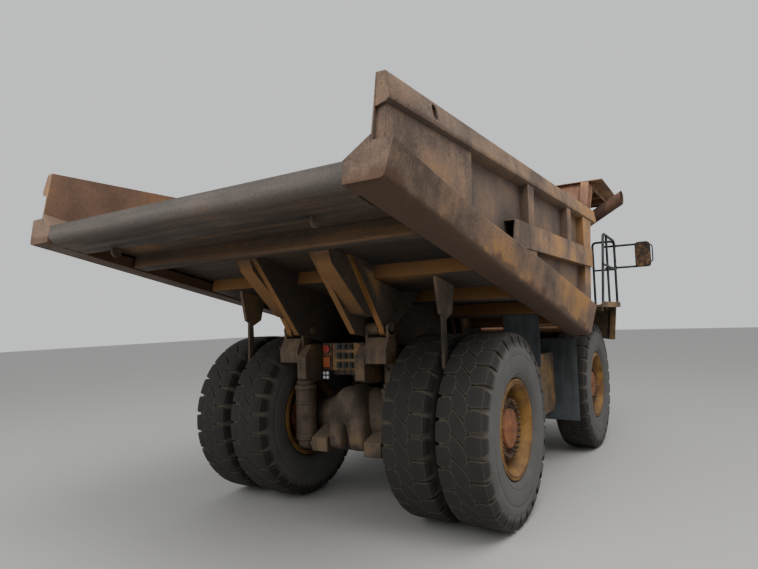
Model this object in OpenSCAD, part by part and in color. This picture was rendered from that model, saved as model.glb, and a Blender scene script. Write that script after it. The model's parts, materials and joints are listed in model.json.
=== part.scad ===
// Rigid-frame mining dump truck, as parked: body down, wheels straight.
// X points forward, Y to the left, Z up. Drawn from the ground under the rear axle,
// then moved so that the origin lies under the middle of the whole machine.

/* [Wheels and axles] */
// Distance between the two axles
wheelbase = 3750; // [3650:10:3900]
// Outer diameter of every tyre
tyre_d = 1873; // [1840:1:1900]
// Width of a tyre across its sidewalls
tyre_w = 498; // [480:1:506]
// Diameter of the bead seat on every rim
rim_d = 838; // [820:1:850]
// Height of a rim flange above its bead seat
rim_flange_h = 63.5; // [55:0.5:70]
// Width of a rim between its flanges
rim_w = 330; // [310:1:340]
// Thickness of a flange with its lock ring
rim_lip = 52; // [40:1:60]
// Wall thickness of a rim barrel
rim_wall = 24; // [16:1:30]
// Distance between the centres of the two front tyres
front_track = 3100; // [3060:5:3160]
// Distance from the middle of the machine to the middle of a twin pair
twin_y = 1268; // [1262:1:1290]
// Distance between the two tyres of a twin pair
twin_pitch = 560; // [558:1:566]
// Number of shoulder lugs around a tyre
lug_count = 28; // [20:1:34]
// Depth of the grooves between lugs
lug_depth = 30; // [15:1:40]
// Share of a lug's pitch that is rubber
lug_share = 0.7; // [0.5:0.01:0.85]
// Width of the tread's unbroken middle band
tread_band_w = 150; // [100:5:220]

/* [Steering] */
// Distance from the middle of the machine to a kingpin
kingpin_y = 1100; // [1080:5:1120]
// Radius of the front suspension cylinders
front_strut_r = 130; // [110:1:140]
// Height of the lower end of a front suspension cylinder
front_strut_low_z = 1250; // [1230:5:1300]
// Distance from the kingpin back to the track rod's joints
steer_arm_x = 330; // [300:5:360]
// Radius of the track rod
track_rod_r = 32; // [25:1:38]

/* [Dump body] */
// Rearmost point of the body, measured from the rear axle
tail_x = -2665; // [-2720:5:-2600]
// Height of the body's rearmost lower edge
tail_z = 2850; // [2830:5:2900]
// Angle of the floor below level, falling to the front
floor_angle = 12.13; // [11.5:0.01:12.5]
// Clear width between the side walls
body_in_w = 3696; // [3640:2:3720]
// Height of the side walls' top edge
wall_top_z = 3551; // [3500:1:3600]
// Thickness of the wall plates
wall_t = 12; // [8:1:16]
// Depth of the floor above the body's lower edge
floor_w = 160; // [150:1:175]
// Thickness of the floor plate
floor_t = 16; // [12:1:20]
// Length of the closed box behind the tail lip
lip_len = 380; // [300:5:420]
// Height of the lower side rail at the tail
side_rail_h = 258; // [230:1:270]
// Distance along the floor from the tail to the front wall
floor_len = 5376; // [5300:1:5400]
// Lean of the front wall from upright
front_lean = 25.3; // [24:0.1:26]
// Height at which the canopy leaves the front wall
canopy_z = 3950; // [3940:5:3990]
// How far the canopy reaches over the cab
canopy_len = 1330; // [1250:5:1400]
// Half the width of the canopy
canopy_half_w = 2040; // [1960:5:2080]
// Rise of the canopy towards its front edge
canopy_rise = 4; // [0:0.5:6]

/* [Body pivot and hoists] */
// Pivot of the dump body, ahead of the rear axle
pivot_x = -520; // [-540:5:-500]
// Height of the body pivot
pivot_z = 1950; // [1940:5:1980]
// Radius of the pivot pin
pivot_pin_r = 42; // [30:1:48]
// Running clearance around pins
pin_gap = 0.3; // [0.2:0.1:1]
// Radius of the round ends of the pivot plates
pivot_eye_r = 75; // [65:1:80]
// Lower pivot of the hoist cylinders, ahead of the rear axle
hoist_low_x = 1000; // [980:5:1040]
// Height of the hoists' lower pivot
hoist_low_z = 700; // [690:5:740]
// Upper pivot of the hoist cylinders, ahead of the rear axle
hoist_top_x = 1400; // [1380:5:1430]
// Height of the hoists' upper pivot
hoist_top_z = 1760; // [1740:5:1780]
// Distance from the middle of the machine to a hoist
hoist_y = 600; // [590:2:610]
// Radius of a hoist's barrel
hoist_r = 90; // [80:1:96]

/* [Chassis] */
// Inner face of each frame rail
rail_in_y = 320; // [310:2:330]
// Width of each frame rail
rail_w = 120; // [110:2:124]
// Foremost face of the bumper, from the rear axle
nose_x = 5400; // [5360:5:5450]
// Height of the deck's walking surface
deck_z = 2150; // [2130:5:2170]
// Half the width of the decks
deck_half_w = 1990; // [1950:5:2030]
// Thickness of a deck with its edge
deck_t = 40; // [30:1:50]
// Half the width of the hood
hood_half_w = 550; // [520:5:555]

/* [Cab] */
// Rear face of the cab, from the rear axle
cab_x = 3680; // [3670:5:3720]
// Length of the cab
cab_len = 1150; // [1100:5:1160]
// Inner side of the cab, from the middle of the machine
cab_y = 590; // [570:5:600]
// Width of the cab
cab_w = 1130; // [1080:5:1160]
// Height of the cab above the deck
cab_h = 1600; // [1550:5:1620]
// Thickness of the cab's walls
cab_t = 50; // [40:1:60]
// Thickness of the window glass
glass_t = 8; // [5:1:12]
// Seating clearance of glass and door
seat_gap = 0.3; // [0.2:0.1:0.5]

/* [Hidden] */

ochre = "#b08a4c";
rust = "#7d6654";
tan_plate = "#a5876a";
dark_steel = "#3a3c3e";
rubber = "#3f3d3a";
cast_grey = "#7c766c";

mid_x = (tail_x + nose_x) / 2;
hub_z = tyre_d / 2;
front_y = front_track / 2;
rail_out_y = rail_in_y + rail_w;
body_y = body_in_w / 2;
wall_y = body_y + wall_t;
flange_r = rim_d / 2 + rim_flange_h;
rim_half = rim_w / 2 + rim_lip;
deck_low_z = deck_z - deck_t;
cab_z = deck_z;

// Position of a point u along the floor from the tail and w above the body's lower edge
function slope_x(u, w) = tail_x + u * cos(floor_angle) + w * sin(floor_angle);
function slope_z(u, w) = tail_z - u * sin(floor_angle) + w * cos(floor_angle);
function slope_pt(u, w) = [slope_x(u, w), slope_z(u, w)];
// Height of the plane w above the lower edge, at the forward position x
function slope_at(x, w) = tail_z + w / cos(floor_angle) - (x - tail_x) * tan(floor_angle);
// Forward position of the front wall's inner face at the height z
function front_wall_x(z) = slope_x(floor_len, 0) + (z - slope_z(floor_len, 0)) * tan(front_lean);

front_low = slope_pt(floor_len, 40);
front_top_x = front_wall_x(wall_top_z);
canopy_x = front_wall_x(canopy_z);

// Outline given as forward position and height, extruded from y0 to y1
module side_plate(y0, y1) {
    translate([0, y1, 0]) rotate([90, 0, 0]) linear_extrude(y1 - y0) children();
}

// Outline given as sideways position and height, extruded from x0 to x1
module cross_plate(x0, x1) {
    translate([x0, 0, 0]) rotate([90, 0, 90]) linear_extrude(x1 - x0) children();
}

// Round bar across the machine from y0 to y1
module cross_bar(x, z, y0, y1, r) {
    translate([x, y1, z]) rotate([90, 0, 0]) cylinder(h = y1 - y0, r = r, $fn = 48);
}

// Box from its low corner to its high corner
module block(low, high) {
    translate(low) cube(high - low);
}

module both_sides() {
    children();
    mirror([0, 1, 0]) children();
}

// The body's own frame: x runs down the floor from the tail, z stands square to it
module on_floor() {
    translate([tail_x, 0, tail_z]) rotate([0, floor_angle, 0]) children();
}

module placed() {
    translate([-mid_x, 0, 0]) children();
}

// Turns a profile of radius and sideways position about a wheel's axis
module about_axle(x, y) {
    translate([x, y, hub_z]) rotate([-90, 0, 0]) rotate_extrude($fn = 96) children();
}

// Straight tube between two points
module tube(a, b, r) {
    d = b - a;
    run = norm([d[0], d[1]]);
    translate(a) rotate([0, atan2(run, d[2]), atan2(d[1], d[0])])
        cylinder(h = norm(d), r = r, $fn = 24);
}

// Tube through a list of points, with a ball at each bend
module bent_tube(points, r) {
    for (i = [0 : len(points) - 2]) tube(points[i], points[i + 1], r);
    for (i = [1 : 1 : len(points) - 2]) translate(points[i]) sphere(r = r + 1, $fn = 24);
}

// Tyres and rims

// Half outline of a tyre as radius and sideways position, from the bead to the tread
module tyre_profile() {
    half = tyre_w / 2;
    r = tyre_d / 2;
    side = [[rim_d / 2, rim_w / 2 - 0.3], [flange_r + 1.5, rim_w / 2 - 0.3],
            [flange_r + 18, rim_half - 4], [r - 380, half - 12], [r - 290, half],
            [r - 150, half - 3], [r - 68, half - 14], [r, half - 52]];
    polygon(concat(side, [for (i = [len(side) - 1 : -1 : 0]) [side[i][0], -side[i][1]]]));
}

// Ring of lugs, as the teeth of a wheel
module lug_ring(turn) {
    r = tyre_d / 2 + 10;
    pitch = 360 / lug_count;
    polygon([for (i = [0 : lug_count - 1], e = [[0, 0], [0, 1], [lug_share, 1], [lug_share, 0]])
        let (a = (i + e[0] + turn) * pitch) (e[1] == 1 ? r : tyre_d / 2 - lug_depth) * [cos(a), sin(a)]]);
}

module tyre(x, y) {
    half = tyre_w / 2;
    color(rubber) intersection() {
        about_axle(x, y) tyre_profile();
        translate([x, y, hub_z]) rotate([-90, 0, 0]) union() {
            difference() {
                translate([0, 0, -half]) cylinder(h = tyre_w, r = tyre_d / 2 - lug_depth, $fn = 96);
                translate([0, 0, -half - 1]) cylinder(h = tyre_w + 2, r = rim_d / 2, $fn = 96);
            }
            translate([0, 0, -tread_band_w / 2]) difference() {
                cylinder(h = tread_band_w, r = tyre_d / 2 + 10, $fn = 96);
                translate([0, 0, -1]) cylinder(h = tread_band_w + 2, r = tyre_d / 2 - 200, $fn = 96);
            }
            for (s = [0, 1]) mirror([0, 0, s]) translate([0, 0, tread_band_w / 2])
                linear_extrude(half - tread_band_w / 2) difference() {
                    lug_ring(s / 2);
                    circle(r = tyre_d / 2 - 200, $fn = 96);
                }
        }
    }
}

// Rim barrel with its two flanges, as radius and sideways position about the tyre's middle
module rim_barrel_profile(y) {
    r = rim_d / 2;
    translate([0, y]) polygon([[r - rim_wall, -rim_half], [flange_r - 8, -rim_half],
        [flange_r, -rim_half + 12], [flange_r, -rim_w / 2], [r, -rim_w / 2], [r, rim_w / 2],
        [flange_r, rim_w / 2], [flange_r, rim_half - 12], [flange_r - 8, rim_half],
        [r - rim_wall, rim_half]]);
}

// Dished disc and round hub cover; face is the sideways position of the nut ring
module hub_profile(face, bore_r, bore_low, bore_high, hub_r) {
    r = rim_d / 2 - rim_wall;
    polygon([[0, face + 55], [120, face + 55], [165, face + 44], [190, face + 20], [190, face],
             [315, face], [335, face - 28], [r + 1, face - 34], [r + 1, face - 64],
             [hub_r, face - 64], [hub_r, bore_low], [bore_r, bore_low], [bore_r, bore_high],
             [0, bore_high]]);
}

spindle_r = 90;
spindle_end_y = 1600;
axle_end_r = 150;
axle_end_y = 1590;
hub_face_in = 100;

module front_rim() {
    color(ochre) about_axle(wheelbase, 0) {
        rim_barrel_profile(front_y);
        hub_profile(front_y + rim_half - hub_face_in, spindle_r + pin_gap, front_y - 170,
                    spindle_end_y + 2, 230);
    }
}

module rear_rim() {
    outer_y = twin_y + twin_pitch / 2;
    inner_y = twin_y - twin_pitch / 2;
    color(ochre) about_axle(0, 0) {
        rim_barrel_profile(outer_y);
        rim_barrel_profile(inner_y);
        hub_profile(outer_y + rim_half - hub_face_in, axle_end_r + pin_gap, inner_y - 150,
                    axle_end_y + 2, 290);
        translate([rim_d / 2 - rim_wall, inner_y + rim_half - 30])
            square([rim_wall, twin_pitch - 2 * rim_half + 60]);
        translate([280, inner_y - 15]) square([rim_d / 2 - rim_wall - 279, 30]);
    }
}

// Steering knuckles and track rod

knuckle_z = [750, 1150];
arm_top_z = 860;

module knuckle() {
    color(cast_grey) {
        translate([wheelbase, kingpin_y, knuckle_z[0]])
            cylinder(h = knuckle_z[1] - knuckle_z[0], r = 145, $fn = 48);
        translate([wheelbase, kingpin_y, knuckle_z[1] - 1])
            cylinder(h = front_strut_low_z - knuckle_z[1] + 0.5, r = front_strut_r - 32, $fn = 48);
        cross_bar(wheelbase, hub_z, kingpin_y, front_y - 190, 140);
        cross_bar(wheelbase, hub_z, front_y - 191, spindle_end_y, spindle_r);
        translate([0, 0, arm_top_z - 60]) linear_extrude(60) hull() {
            translate([wheelbase - 60, kingpin_y]) circle(r = 70, $fn = 32);
            translate([wheelbase - steer_arm_x, kingpin_y - 60]) circle(r = 50, $fn = 32);
        }
    }
}

module track_rod() {
    color(cast_grey) {
        cross_bar(wheelbase - steer_arm_x, arm_top_z + 45, 60 - kingpin_y, kingpin_y - 60, track_rod_r);
        both_sides() translate([wheelbase - steer_arm_x, kingpin_y - 60, arm_top_z + 0.6])
            cylinder(h = 75, r = 45, $fn = 48);
    }
}

module front_struts() {
    color(cast_grey) both_sides() {
        translate([wheelbase, kingpin_y, front_strut_low_z])
            cylinder(h = 740, r = front_strut_r, $fn = 48);
        translate([wheelbase, kingpin_y, front_strut_low_z + 739])
            cylinder(h = 60, r = front_strut_r - 30, $fn = 48);
    }
}

// Rear axle, suspension cylinders and driveline

strut_x = -350;
strut_y = 585;
strut_low_z = 680;
strut_high_z = 1720;

module rear_axle() {
    color(cast_grey) difference() {
        union() {
            about_axle(0, 0) polygon([[0, -axle_end_y], [axle_end_r, -axle_end_y],
                [axle_end_r, -650], [210, -600], [230, -420], [330, -200], [350, 0],
                [330, 200], [230, 420], [210, 600], [axle_end_r, 650], [axle_end_r, axle_end_y],
                [0, axle_end_y]]);
            // Cast tail of the centre housing, a bell seen from behind
            translate([-430, 0, 0]) cross_plate(0, 330) polygon([[-250, 640], [-255, 800],
                [-230, 1060], [-170, 1230], [-80, 1325], [80, 1325], [170, 1230], [230, 1060],
                [255, 800], [250, 640]]);
            // Arms that carry the suspension cylinders
            both_sides() side_plate(240, 455) polygon([[-430, 610], [-430, 760], [-150, 900],
                [-100, 700], [-250, 600]]);
            // Input flange
            translate([300, 0, hub_z]) rotate([0, 90, 0]) cylinder(h = 180, r = 110, $fn = 48);
        }
        // Inverted V between the legs of the bell
        translate([-431, 0, 0]) cross_plate(0, 90) polygon([[-75, 639], [-20, 930], [20, 930], [75, 639]]);
    }
    color(cast_grey) both_sides() {
        cross_bar(strut_x, strut_low_z, 454, 512, 55);
    }
}

module rear_struts() {
    color(cast_grey) both_sides() {
        translate([strut_x, strut_y, strut_low_z + 60]) cylinder(h = 580, r = 122, $fn = 48);
        translate([strut_x, strut_y, strut_low_z + 639]) cylinder(h = 320, r = 92, $fn = 48);
        cross_bar(strut_x, strut_low_z, 512.3, 655, 68);
        cross_bar(strut_x, strut_high_z, 530, 640, 62);
    }
}

shaft_z = 1120;

module driveline() {
    color(cast_grey) {
        block([1500, -270, 760], [2450, 270, 1330]);
        for (x = [1600, 2250]) block([x, seat_gap - rail_in_y, 1000], [x + 100, rail_in_y - seat_gap, 1100]);
        tube([2449, 0, shaft_z], [3560, 0, shaft_z], 65);
        tube([480 + seat_gap, 0, hub_z], [580, 0, hub_z], 75);
        bent_tube([[540, 0, hub_z], [700, 0, hub_z], [1400, 0, 1000], [1501, 0, 1000]], 55);
    }
}

module engine_block() {
    color(dark_steel) {
        block([3560 + seat_gap, -300, 980], [4840, 300, 1700]);
        // Feet on the frame rails
        for (x = [3700, 4600]) block([x, seat_gap - rail_in_y, 1060], [x + 100, rail_in_y - seat_gap, 1160]);
        block([3780, -260, 1699], [4700, 260, 2250]);
    }
}

// Frame

rail_top = [[-450, 1800], [2450, 1400]];
function rail_top_at(x) = rail_top[0][1]
    + (x - rail_top[0][0]) * (rail_top[1][1] - rail_top[0][1]) / (rail_top[1][0] - rail_top[0][0]);
frame_front_x = 5120;

module rail_outline() {
    polygon([[-660, 1430], [-660, 1670], [-550, rail_top[0][1] - 10], rail_top[0], rail_top[1],
             [3300, 1400], [frame_front_x, 1400], [frame_front_x, 820], [4350, 820], [4200, 1000],
             [3250, 1000], [3050, 860], [900, 860], [480, 1390], [-500, 1390]]);
}

module frame() {
    color(ochre) {
            both_sides() side_plate(rail_in_y, rail_out_y) rail_outline();
            // Cross members between the rails
            for (b = [[-340, -200, 1450, 1760], [1000, 1150, 1200, 1380], [2560, 2760, 1220, 1380],
                      [4900, 5060, 830, 1050]])
                block([b[0], -rail_in_y - 1, b[2]], [b[1], rail_in_y + 1, b[3]]);
            // Ears that carry the body pivot
            both_sides() {
                side_plate(408, rail_out_y) {
                    translate([pivot_x, pivot_z]) circle(r = pivot_eye_r - 10, $fn = 48);
                    polygon([[pivot_x - 60, 1600], [pivot_x - 60, pivot_z], [pivot_x + 60, pivot_z],
                        [pivot_x + 130, 1600]]);
                }
                cross_bar(pivot_x, pivot_z, 408, 560, pivot_eye_r - 10);
                cross_bar(pivot_x, pivot_z, 300, 680, pivot_pin_r);
            }
            // Towers that carry the front suspension cylinders
            both_sides() {
                block([wheelbase - 120, rail_out_y - 1, 1380], [wheelbase + 120, kingpin_y - front_strut_r - 0.3, 1900]);
                block([wheelbase - 60, rail_in_y + 20, 1380], [wheelbase + 60, rail_out_y, 1900]);
            }
            // Upper carriers of the rear suspension cylinders
            both_sides() side_plate(rail_out_y - 1, 529.7)
                polygon([[-440, 1640], [-440, 1830], [-250, 1830], [-200, 1640]]);
            // Hoist pins
            both_sides() cross_bar(hoist_low_x, hoist_low_z, rail_out_y - 1, hoist_y + 75, 40);
            // Deck supports
            both_sides() for (x = [3560, 4650])
{
                block([x, rail_in_y + 20, 1399], [x + 90, rail_out_y, deck_low_z - 1]);
                block([x, rail_in_y + 20, deck_low_z - 60], [x + 90, deck_half_w - 60, deck_low_z - seat_gap]);
            }
            // Lugs below the rails for the hoists
            both_sides() side_plate(rail_in_y + 20, rail_out_y) {
                translate([hoist_low_x, hoist_low_z]) circle(r = 75, $fn = 48);
                polygon([[hoist_low_x - 180, 900], [hoist_low_x - 72, hoist_low_z - 20],
                    [hoist_low_x + 72, hoist_low_z - 20], [hoist_low_x + 180, 900]]);
            }
    }
}

module front_bumper() {
    color(ochre) difference() {
        union() {
            side_plate(-1500, 1500) polygon([[frame_front_x + 0.3, 700], [frame_front_x + 0.3, 1150],
                [nose_x - 30, 1150], [nose_x, 1110], [nose_x, 760], [nose_x - 60, 700]]);
            both_sides() side_plate(330, 370) hull() {
                translate([nose_x - 110, 620]) circle(r = 60, $fn = 32);
                translate([nose_x - 180, 700]) square([140, 20]);
            }
        }
        both_sides() cross_bar(nose_x - 110, 620, 320, 380, tow_hole_r);
    }
}
tow_hole_r = 28;

module hood() {
    color(ochre) difference() {
        side_plate(-hood_half_w, hood_half_w) polygon([[3720, deck_z], [3720, 2700], [4600, 2680],
            [5080, 2560], [5080, 1420], [4900, 1420], [4900, deck_z]]);
        side_plate(-hood_half_w + 30, hood_half_w - 30) polygon([[3750, deck_z - 1], [3750, 2660],
            [4590, 2645], [5081, 2520], [5081, 1419], [4899, 1419], [4899, deck_z - 1]]);
    }
}

module radiator_grille() {
    low = 1430;
    high = 2510;
    half = hood_half_w - 30 - seat_gap;
    color(dark_steel) {
        block([5000, -half, low], [5079, half, low + 50]);
        block([5000, -half, high - 50], [5079, half, high]);
        both_sides() block([5000, half - 50, low + 49], [5079, half, high - 49]);
        for (i = [1 : 8]) block([5040, -half + 49, low + i * 115], [5070, half - 49, low + i * 115 + 30]);
        block([5000, -half + 49, low + 49], [5030, half - 49, high - 49]);
    }
}

// Decks, cab and what stands on them

deck_x = [3500, 4850];

module deck_half() {
    color(ochre) {
        block([deck_x[0], hood_half_w + seat_gap, deck_low_z], [deck_x[1], deck_half_w, deck_z]);
        // Front apron of the wheel arch
        block([deck_x[1] - 66, 1050, 1560], [deck_x[1] - 46, deck_half_w - 60, deck_low_z + 1]);
    }
}

module deck_left() { deck_half(); }
module deck_right() { mirror([0, 1, 0]) deck_half(); }

cab_x1 = cab_x + cab_len;
cab_y1 = cab_y + cab_w;
cab_z1 = cab_z + cab_h;
sill_z = cab_z + 620;
head_z = cab_z1 - 190;
door_x = [cab_x + 130, cab_x + 930];

module cab_outline(inset) {
    translate([cab_x + inset, 0]) square([cab_len - 2 * inset, 1]);
}

module cab_shell() {
    color(ochre) difference() {
        block([cab_x, cab_y, cab_z], [cab_x1, cab_y1, cab_z1]);
        block([cab_x + cab_t, cab_y + cab_t, cab_z + cab_t], [cab_x1 - cab_t, cab_y1 - cab_t, cab_z1 - cab_t]);
        // Windscreen and rear window
        block([cab_x - 1, cab_y + 110, sill_z], [cab_x1 + 1, cab_y1 - 110, head_z]);
        // Side window towards the hood
        block([cab_x + 130, cab_y - 1, sill_z], [cab_x1 - 120, cab_y + cab_t + 1, head_z]);
        // Door opening
        block([door_x[0], cab_y1 - cab_t - 1, cab_z + 60], [door_x[1], cab_y1 + 1, head_z + 50]);
    }
}

module pane_x(x, y0, y1, z0, z1) {
    block([x, y0 + seat_gap, z0 + seat_gap], [x + glass_t, y1 - seat_gap, z1 - seat_gap]);
}

module cab_glass() {
    color("#9fb4bd", 0.4) {
        pane_x(cab_x + 20, cab_y + 110, cab_y1 - 110, sill_z, head_z);
        pane_x(cab_x1 - 20 - glass_t, cab_y + 110, cab_y1 - 110, sill_z, head_z);
        block([cab_x + 130 + seat_gap, cab_y + 20, sill_z + seat_gap],
              [cab_x1 - 120 - seat_gap, cab_y + 20 + glass_t, head_z - seat_gap]);
    }
}

door_gap = 6;
door_z = [cab_z + 60 + door_gap, head_z + 50 - door_gap];

module cab_door() {
    color(ochre) difference() {
        block([door_x[0] + door_gap, cab_y1 - cab_t, door_z[0]], [door_x[1] - door_gap, cab_y1 - 4, door_z[1]]);
        block([door_x[0] + 90, cab_y1 - cab_t - 1, sill_z - 150], [door_x[1] - 90, cab_y1, head_z - 30]);
    }
}

module door_glass() {
    color("#9fb4bd", 0.4) block([door_x[0] + 90 + seat_gap, cab_y1 - cab_t + 18, sill_z - 150 + seat_gap],
        [door_x[1] - 90 - seat_gap, cab_y1 - cab_t + 18 + glass_t, head_z - 30 - seat_gap]);
}

module cab_seat() {
    x = cab_x + 330;
    y = cab_y + cab_w / 2;
    z = cab_z + cab_t;
    color("#2c2d30") {
        block([x - 130, y - 120, z], [x + 130, y + 120, z + 260]);
        block([x - 230, y - 250, z + 259], [x + 280, y + 250, z + 400]);
        block([x - 230, y - 240, z + 399], [x - 110, y + 240, z + 1030]);
    }
}

module cab_console() {
    x = cab_x1 - cab_t;
    z = cab_z + cab_t;
    color("#35373a") {
        side_plate(cab_y + cab_t, cab_y1 - cab_t) polygon([[x - 60, z], [x - 230, z + 600],
            [x - 200, z + 720], [x, z + 680], [x, z]]);
        translate([x - 330, cab_y + cab_w / 2, z + 760]) rotate([0, -35, 0]) {
            rotate_extrude($fn = 48) translate([210, 0]) circle(r = 16, $fn = 24);
            translate([-205, -18, -10]) cube([410, 36, 16]);
            translate([0, 0, -200]) cylinder(h = 200, r = 26, $fn = 24);
        }
    }
}

rail_r = 20;

module handrails() {
    y = deck_half_w - 40;
    z = deck_z;
    color(dark_steel) {
        mirror([0, 1, 0]) {
            bent_tube([[3560, y, z], [3560, y, z + 980], [4790, y, z + 980], [4790, y, z]], rail_r);
            tube([3560, y, z + 500], [4790, y, z + 500], rail_r);
            tube([4180, y, z], [4180, y, z + 980], rail_r);
            bent_tube([[4790, y - 60, z], [4790, y - 60, z + 920], [4790, 640, z + 920], [4790, 640, z]], rail_r);
            tube([4790, y - 60, z + 470], [4790, 640, z + 470], rail_r);
        }
        bent_tube([[4790, y, z], [4790, y, z + 980], [4790, cab_y1 + 60, z + 980], [4790, cab_y1 + 60, z]], rail_r);
    }
}

module mirrors() {
    color(dark_steel) both_sides() {
        x = 4790 + rail_r + 16 + seat_gap;
        for (h = [700, 900])
            tube([x, deck_half_w - 60, deck_z + h], [x, 2300, deck_z + h], 16);
        block([x - 30, 2290, deck_z + 600], [x + 30, 2540, deck_z + 1000]);
    }
}

ladder_y = [1030, 1420];

module ladders() {
    color(dark_steel) both_sides() {
        for (y = ladder_y) tube([5200, y, 1180], [4900, y, deck_z - 10], 22);
        for (i = [0 : 3]) tube([5177 - i * 75, ladder_y[0], 1260 + i * 240], [5177 - i * 75, ladder_y[1], 1260 + i * 240], 16);
        for (y = ladder_y) {
            block([deck_x[1] + seat_gap, y - 22, deck_low_z], [4930, y + 22, deck_low_z + 20]);
            block([5160, y - 30, 1150 + seat_gap], [5240, y + 30, 1200]);
        }
    }
}

module side_tanks() {
    color(ochre) both_sides() {
        side_plate(790, 1500) polygon([[1270, 800], [1270, 1480], [1320, 1530], [2300, 1530],
            [2350, 1480], [2350, 860], [2250, 760], [1310, 760]]);
        for (x = [1800, 2200]) block([x, rail_out_y + seat_gap, 1000], [x + 60, 791, 1060]);
    }
}

module air_cleaner() {
    color(ochre) {
        translate([4450, -950, deck_z + 40]) cylinder(h = 640, r = 190, $fn = 48);
        translate([4450, -950, deck_z]) cylinder(h = 41, r = 120, $fn = 48);
        translate([4450, -950, deck_z + 679]) cylinder(h = 90, r = 110, $fn = 48);
    }
}

exhaust_r = 140;
module exhaust_pipe() {
    a = [3995, -1350, 3170];
    b = [3500, -2280, 3700];
    color("#6a4a3a") difference() {
        union() {
            tube([3995, -1350, deck_z], a, exhaust_r - 15);
            translate(a) sphere(r = exhaust_r + 4, $fn = 48);
            tube(a, b, exhaust_r);
        }
        tube(a + (b - a) * 0.6, b + (b - a) * 0.1, exhaust_r - 12);
    }
}

module rear_lamps() {
    color(ochre) block([-370, -310, 1500], [-340.3, 310, 1800]);
    color("#a02020") both_sides() for (z = [1560, 1700])
        translate([-369, 215, z + 20]) rotate([0, -90, 0]) cylinder(h = 40, r = 52, $fn = 32);
    color(dark_steel) both_sides() block([-420, 170, 1400], [-350, 270, 1499.7]);
}

module head_lamps() {
    color("#d8dadb") both_sides() for (y = [700, 900])
        translate([5300 + seat_gap, y, 1235]) rotate([0, 90, 0]) cylinder(h = 40, r = 75, $fn = 48);
    color(dark_steel) both_sides() block([5230, 610, 1150 + seat_gap], [5300, 990, 1320]);
}

module body_flaps() {
    color(rubber) both_sides() side_plate(1250, 1680) polygon([[1150, 1430],
        [1150, slope_at(1150, 10) - seat_gap], [1160, slope_at(1160, 10) - seat_gap], [1160, 1430]]);
}

module mud_flaps() {
    color(rubber) both_sides() {
        block([2450, 1200, 600], [2462, 1780, 1700]);
        block([2350 + seat_gap, 1250, 1400], [2451, 1290, 1460]);
    }
}

// Dump body

beam_y = [332, 400];
pivot_plate_y = [575, 640];

module body_floor() {
    color(rust) difference() {
        union() {
            on_floor() {
                // Floor plate
                block([0, -body_y, floor_w - floor_t], [floor_len, body_y, floor_w]);
                // Tail lip, a closed box with a round nose
                side_plate(-1670, 1670) union() {
                    translate([75, 0]) square([lip_len - 75, floor_w - floor_t + 1]);
                    translate([75, 75]) circle(r = 75, $fn = 48);
                    translate([0, 75]) square([150, floor_w - 80]);
                }
                // Cross bolsters
                for (b = [[900, 150], [1960, 560], [3000, 150], [3820, 200], [4500, 150]])
                    block([b[0], -1670, 10], [b[0] + b[1], 1670, floor_w - floor_t + 1]);
            }
            // Main beams down to the pivot and along the frame
            both_sides() side_plate(beam_y[0], beam_y[1]) union() {
                polygon([[-1400, slope_at(-1400, floor_w - floor_t)], [-740, pivot_z - pivot_eye_r + 30],
                    [pivot_x, pivot_z - pivot_eye_r], [-380, rail_top_at(-380) + 30],
                    [2420, rail_top_at(2420) + 30], [2550, slope_at(2550, floor_w - floor_t)]]);
                translate([pivot_x, pivot_z]) circle(r = pivot_eye_r, $fn = 48);
            }
            // Outer pivot plates
            both_sides() side_plate(pivot_plate_y[0], pivot_plate_y[1]) union() {
                polygon([[-1100, slope_at(-1100, floor_w - floor_t)], [pivot_x - 60, pivot_z - 20],
                    [pivot_x + 60, pivot_z - 20], [300, slope_at(300, floor_w - floor_t)]]);
                translate([pivot_x, pivot_z]) circle(r = pivot_eye_r, $fn = 48);
            }
            // Hoist brackets
            both_sides() for (y = [hoist_y - 70, hoist_y + 50]) side_plate(y, y + 20) union() {
                polygon([[hoist_top_x - 220, slope_at(hoist_top_x - 220, floor_w - floor_t)],
                    [hoist_top_x - 60, hoist_top_z], [hoist_top_x + 60, hoist_top_z],
                    [hoist_top_x + 160, slope_at(hoist_top_x + 160, floor_w - floor_t)]]);
                translate([hoist_top_x, hoist_top_z]) circle(r = 65, $fn = 48);
            }
        }
        both_sides() cross_bar(pivot_x, pivot_z, 290, 700, pivot_pin_r + pin_gap);
    }
}

// Height of the lower side rail's upper edge above the body's lower edge, as it grows forward
rail_rise = [[0, side_rail_h], [1400, side_rail_h], [2950, 345], [floor_len, 420]];

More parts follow.
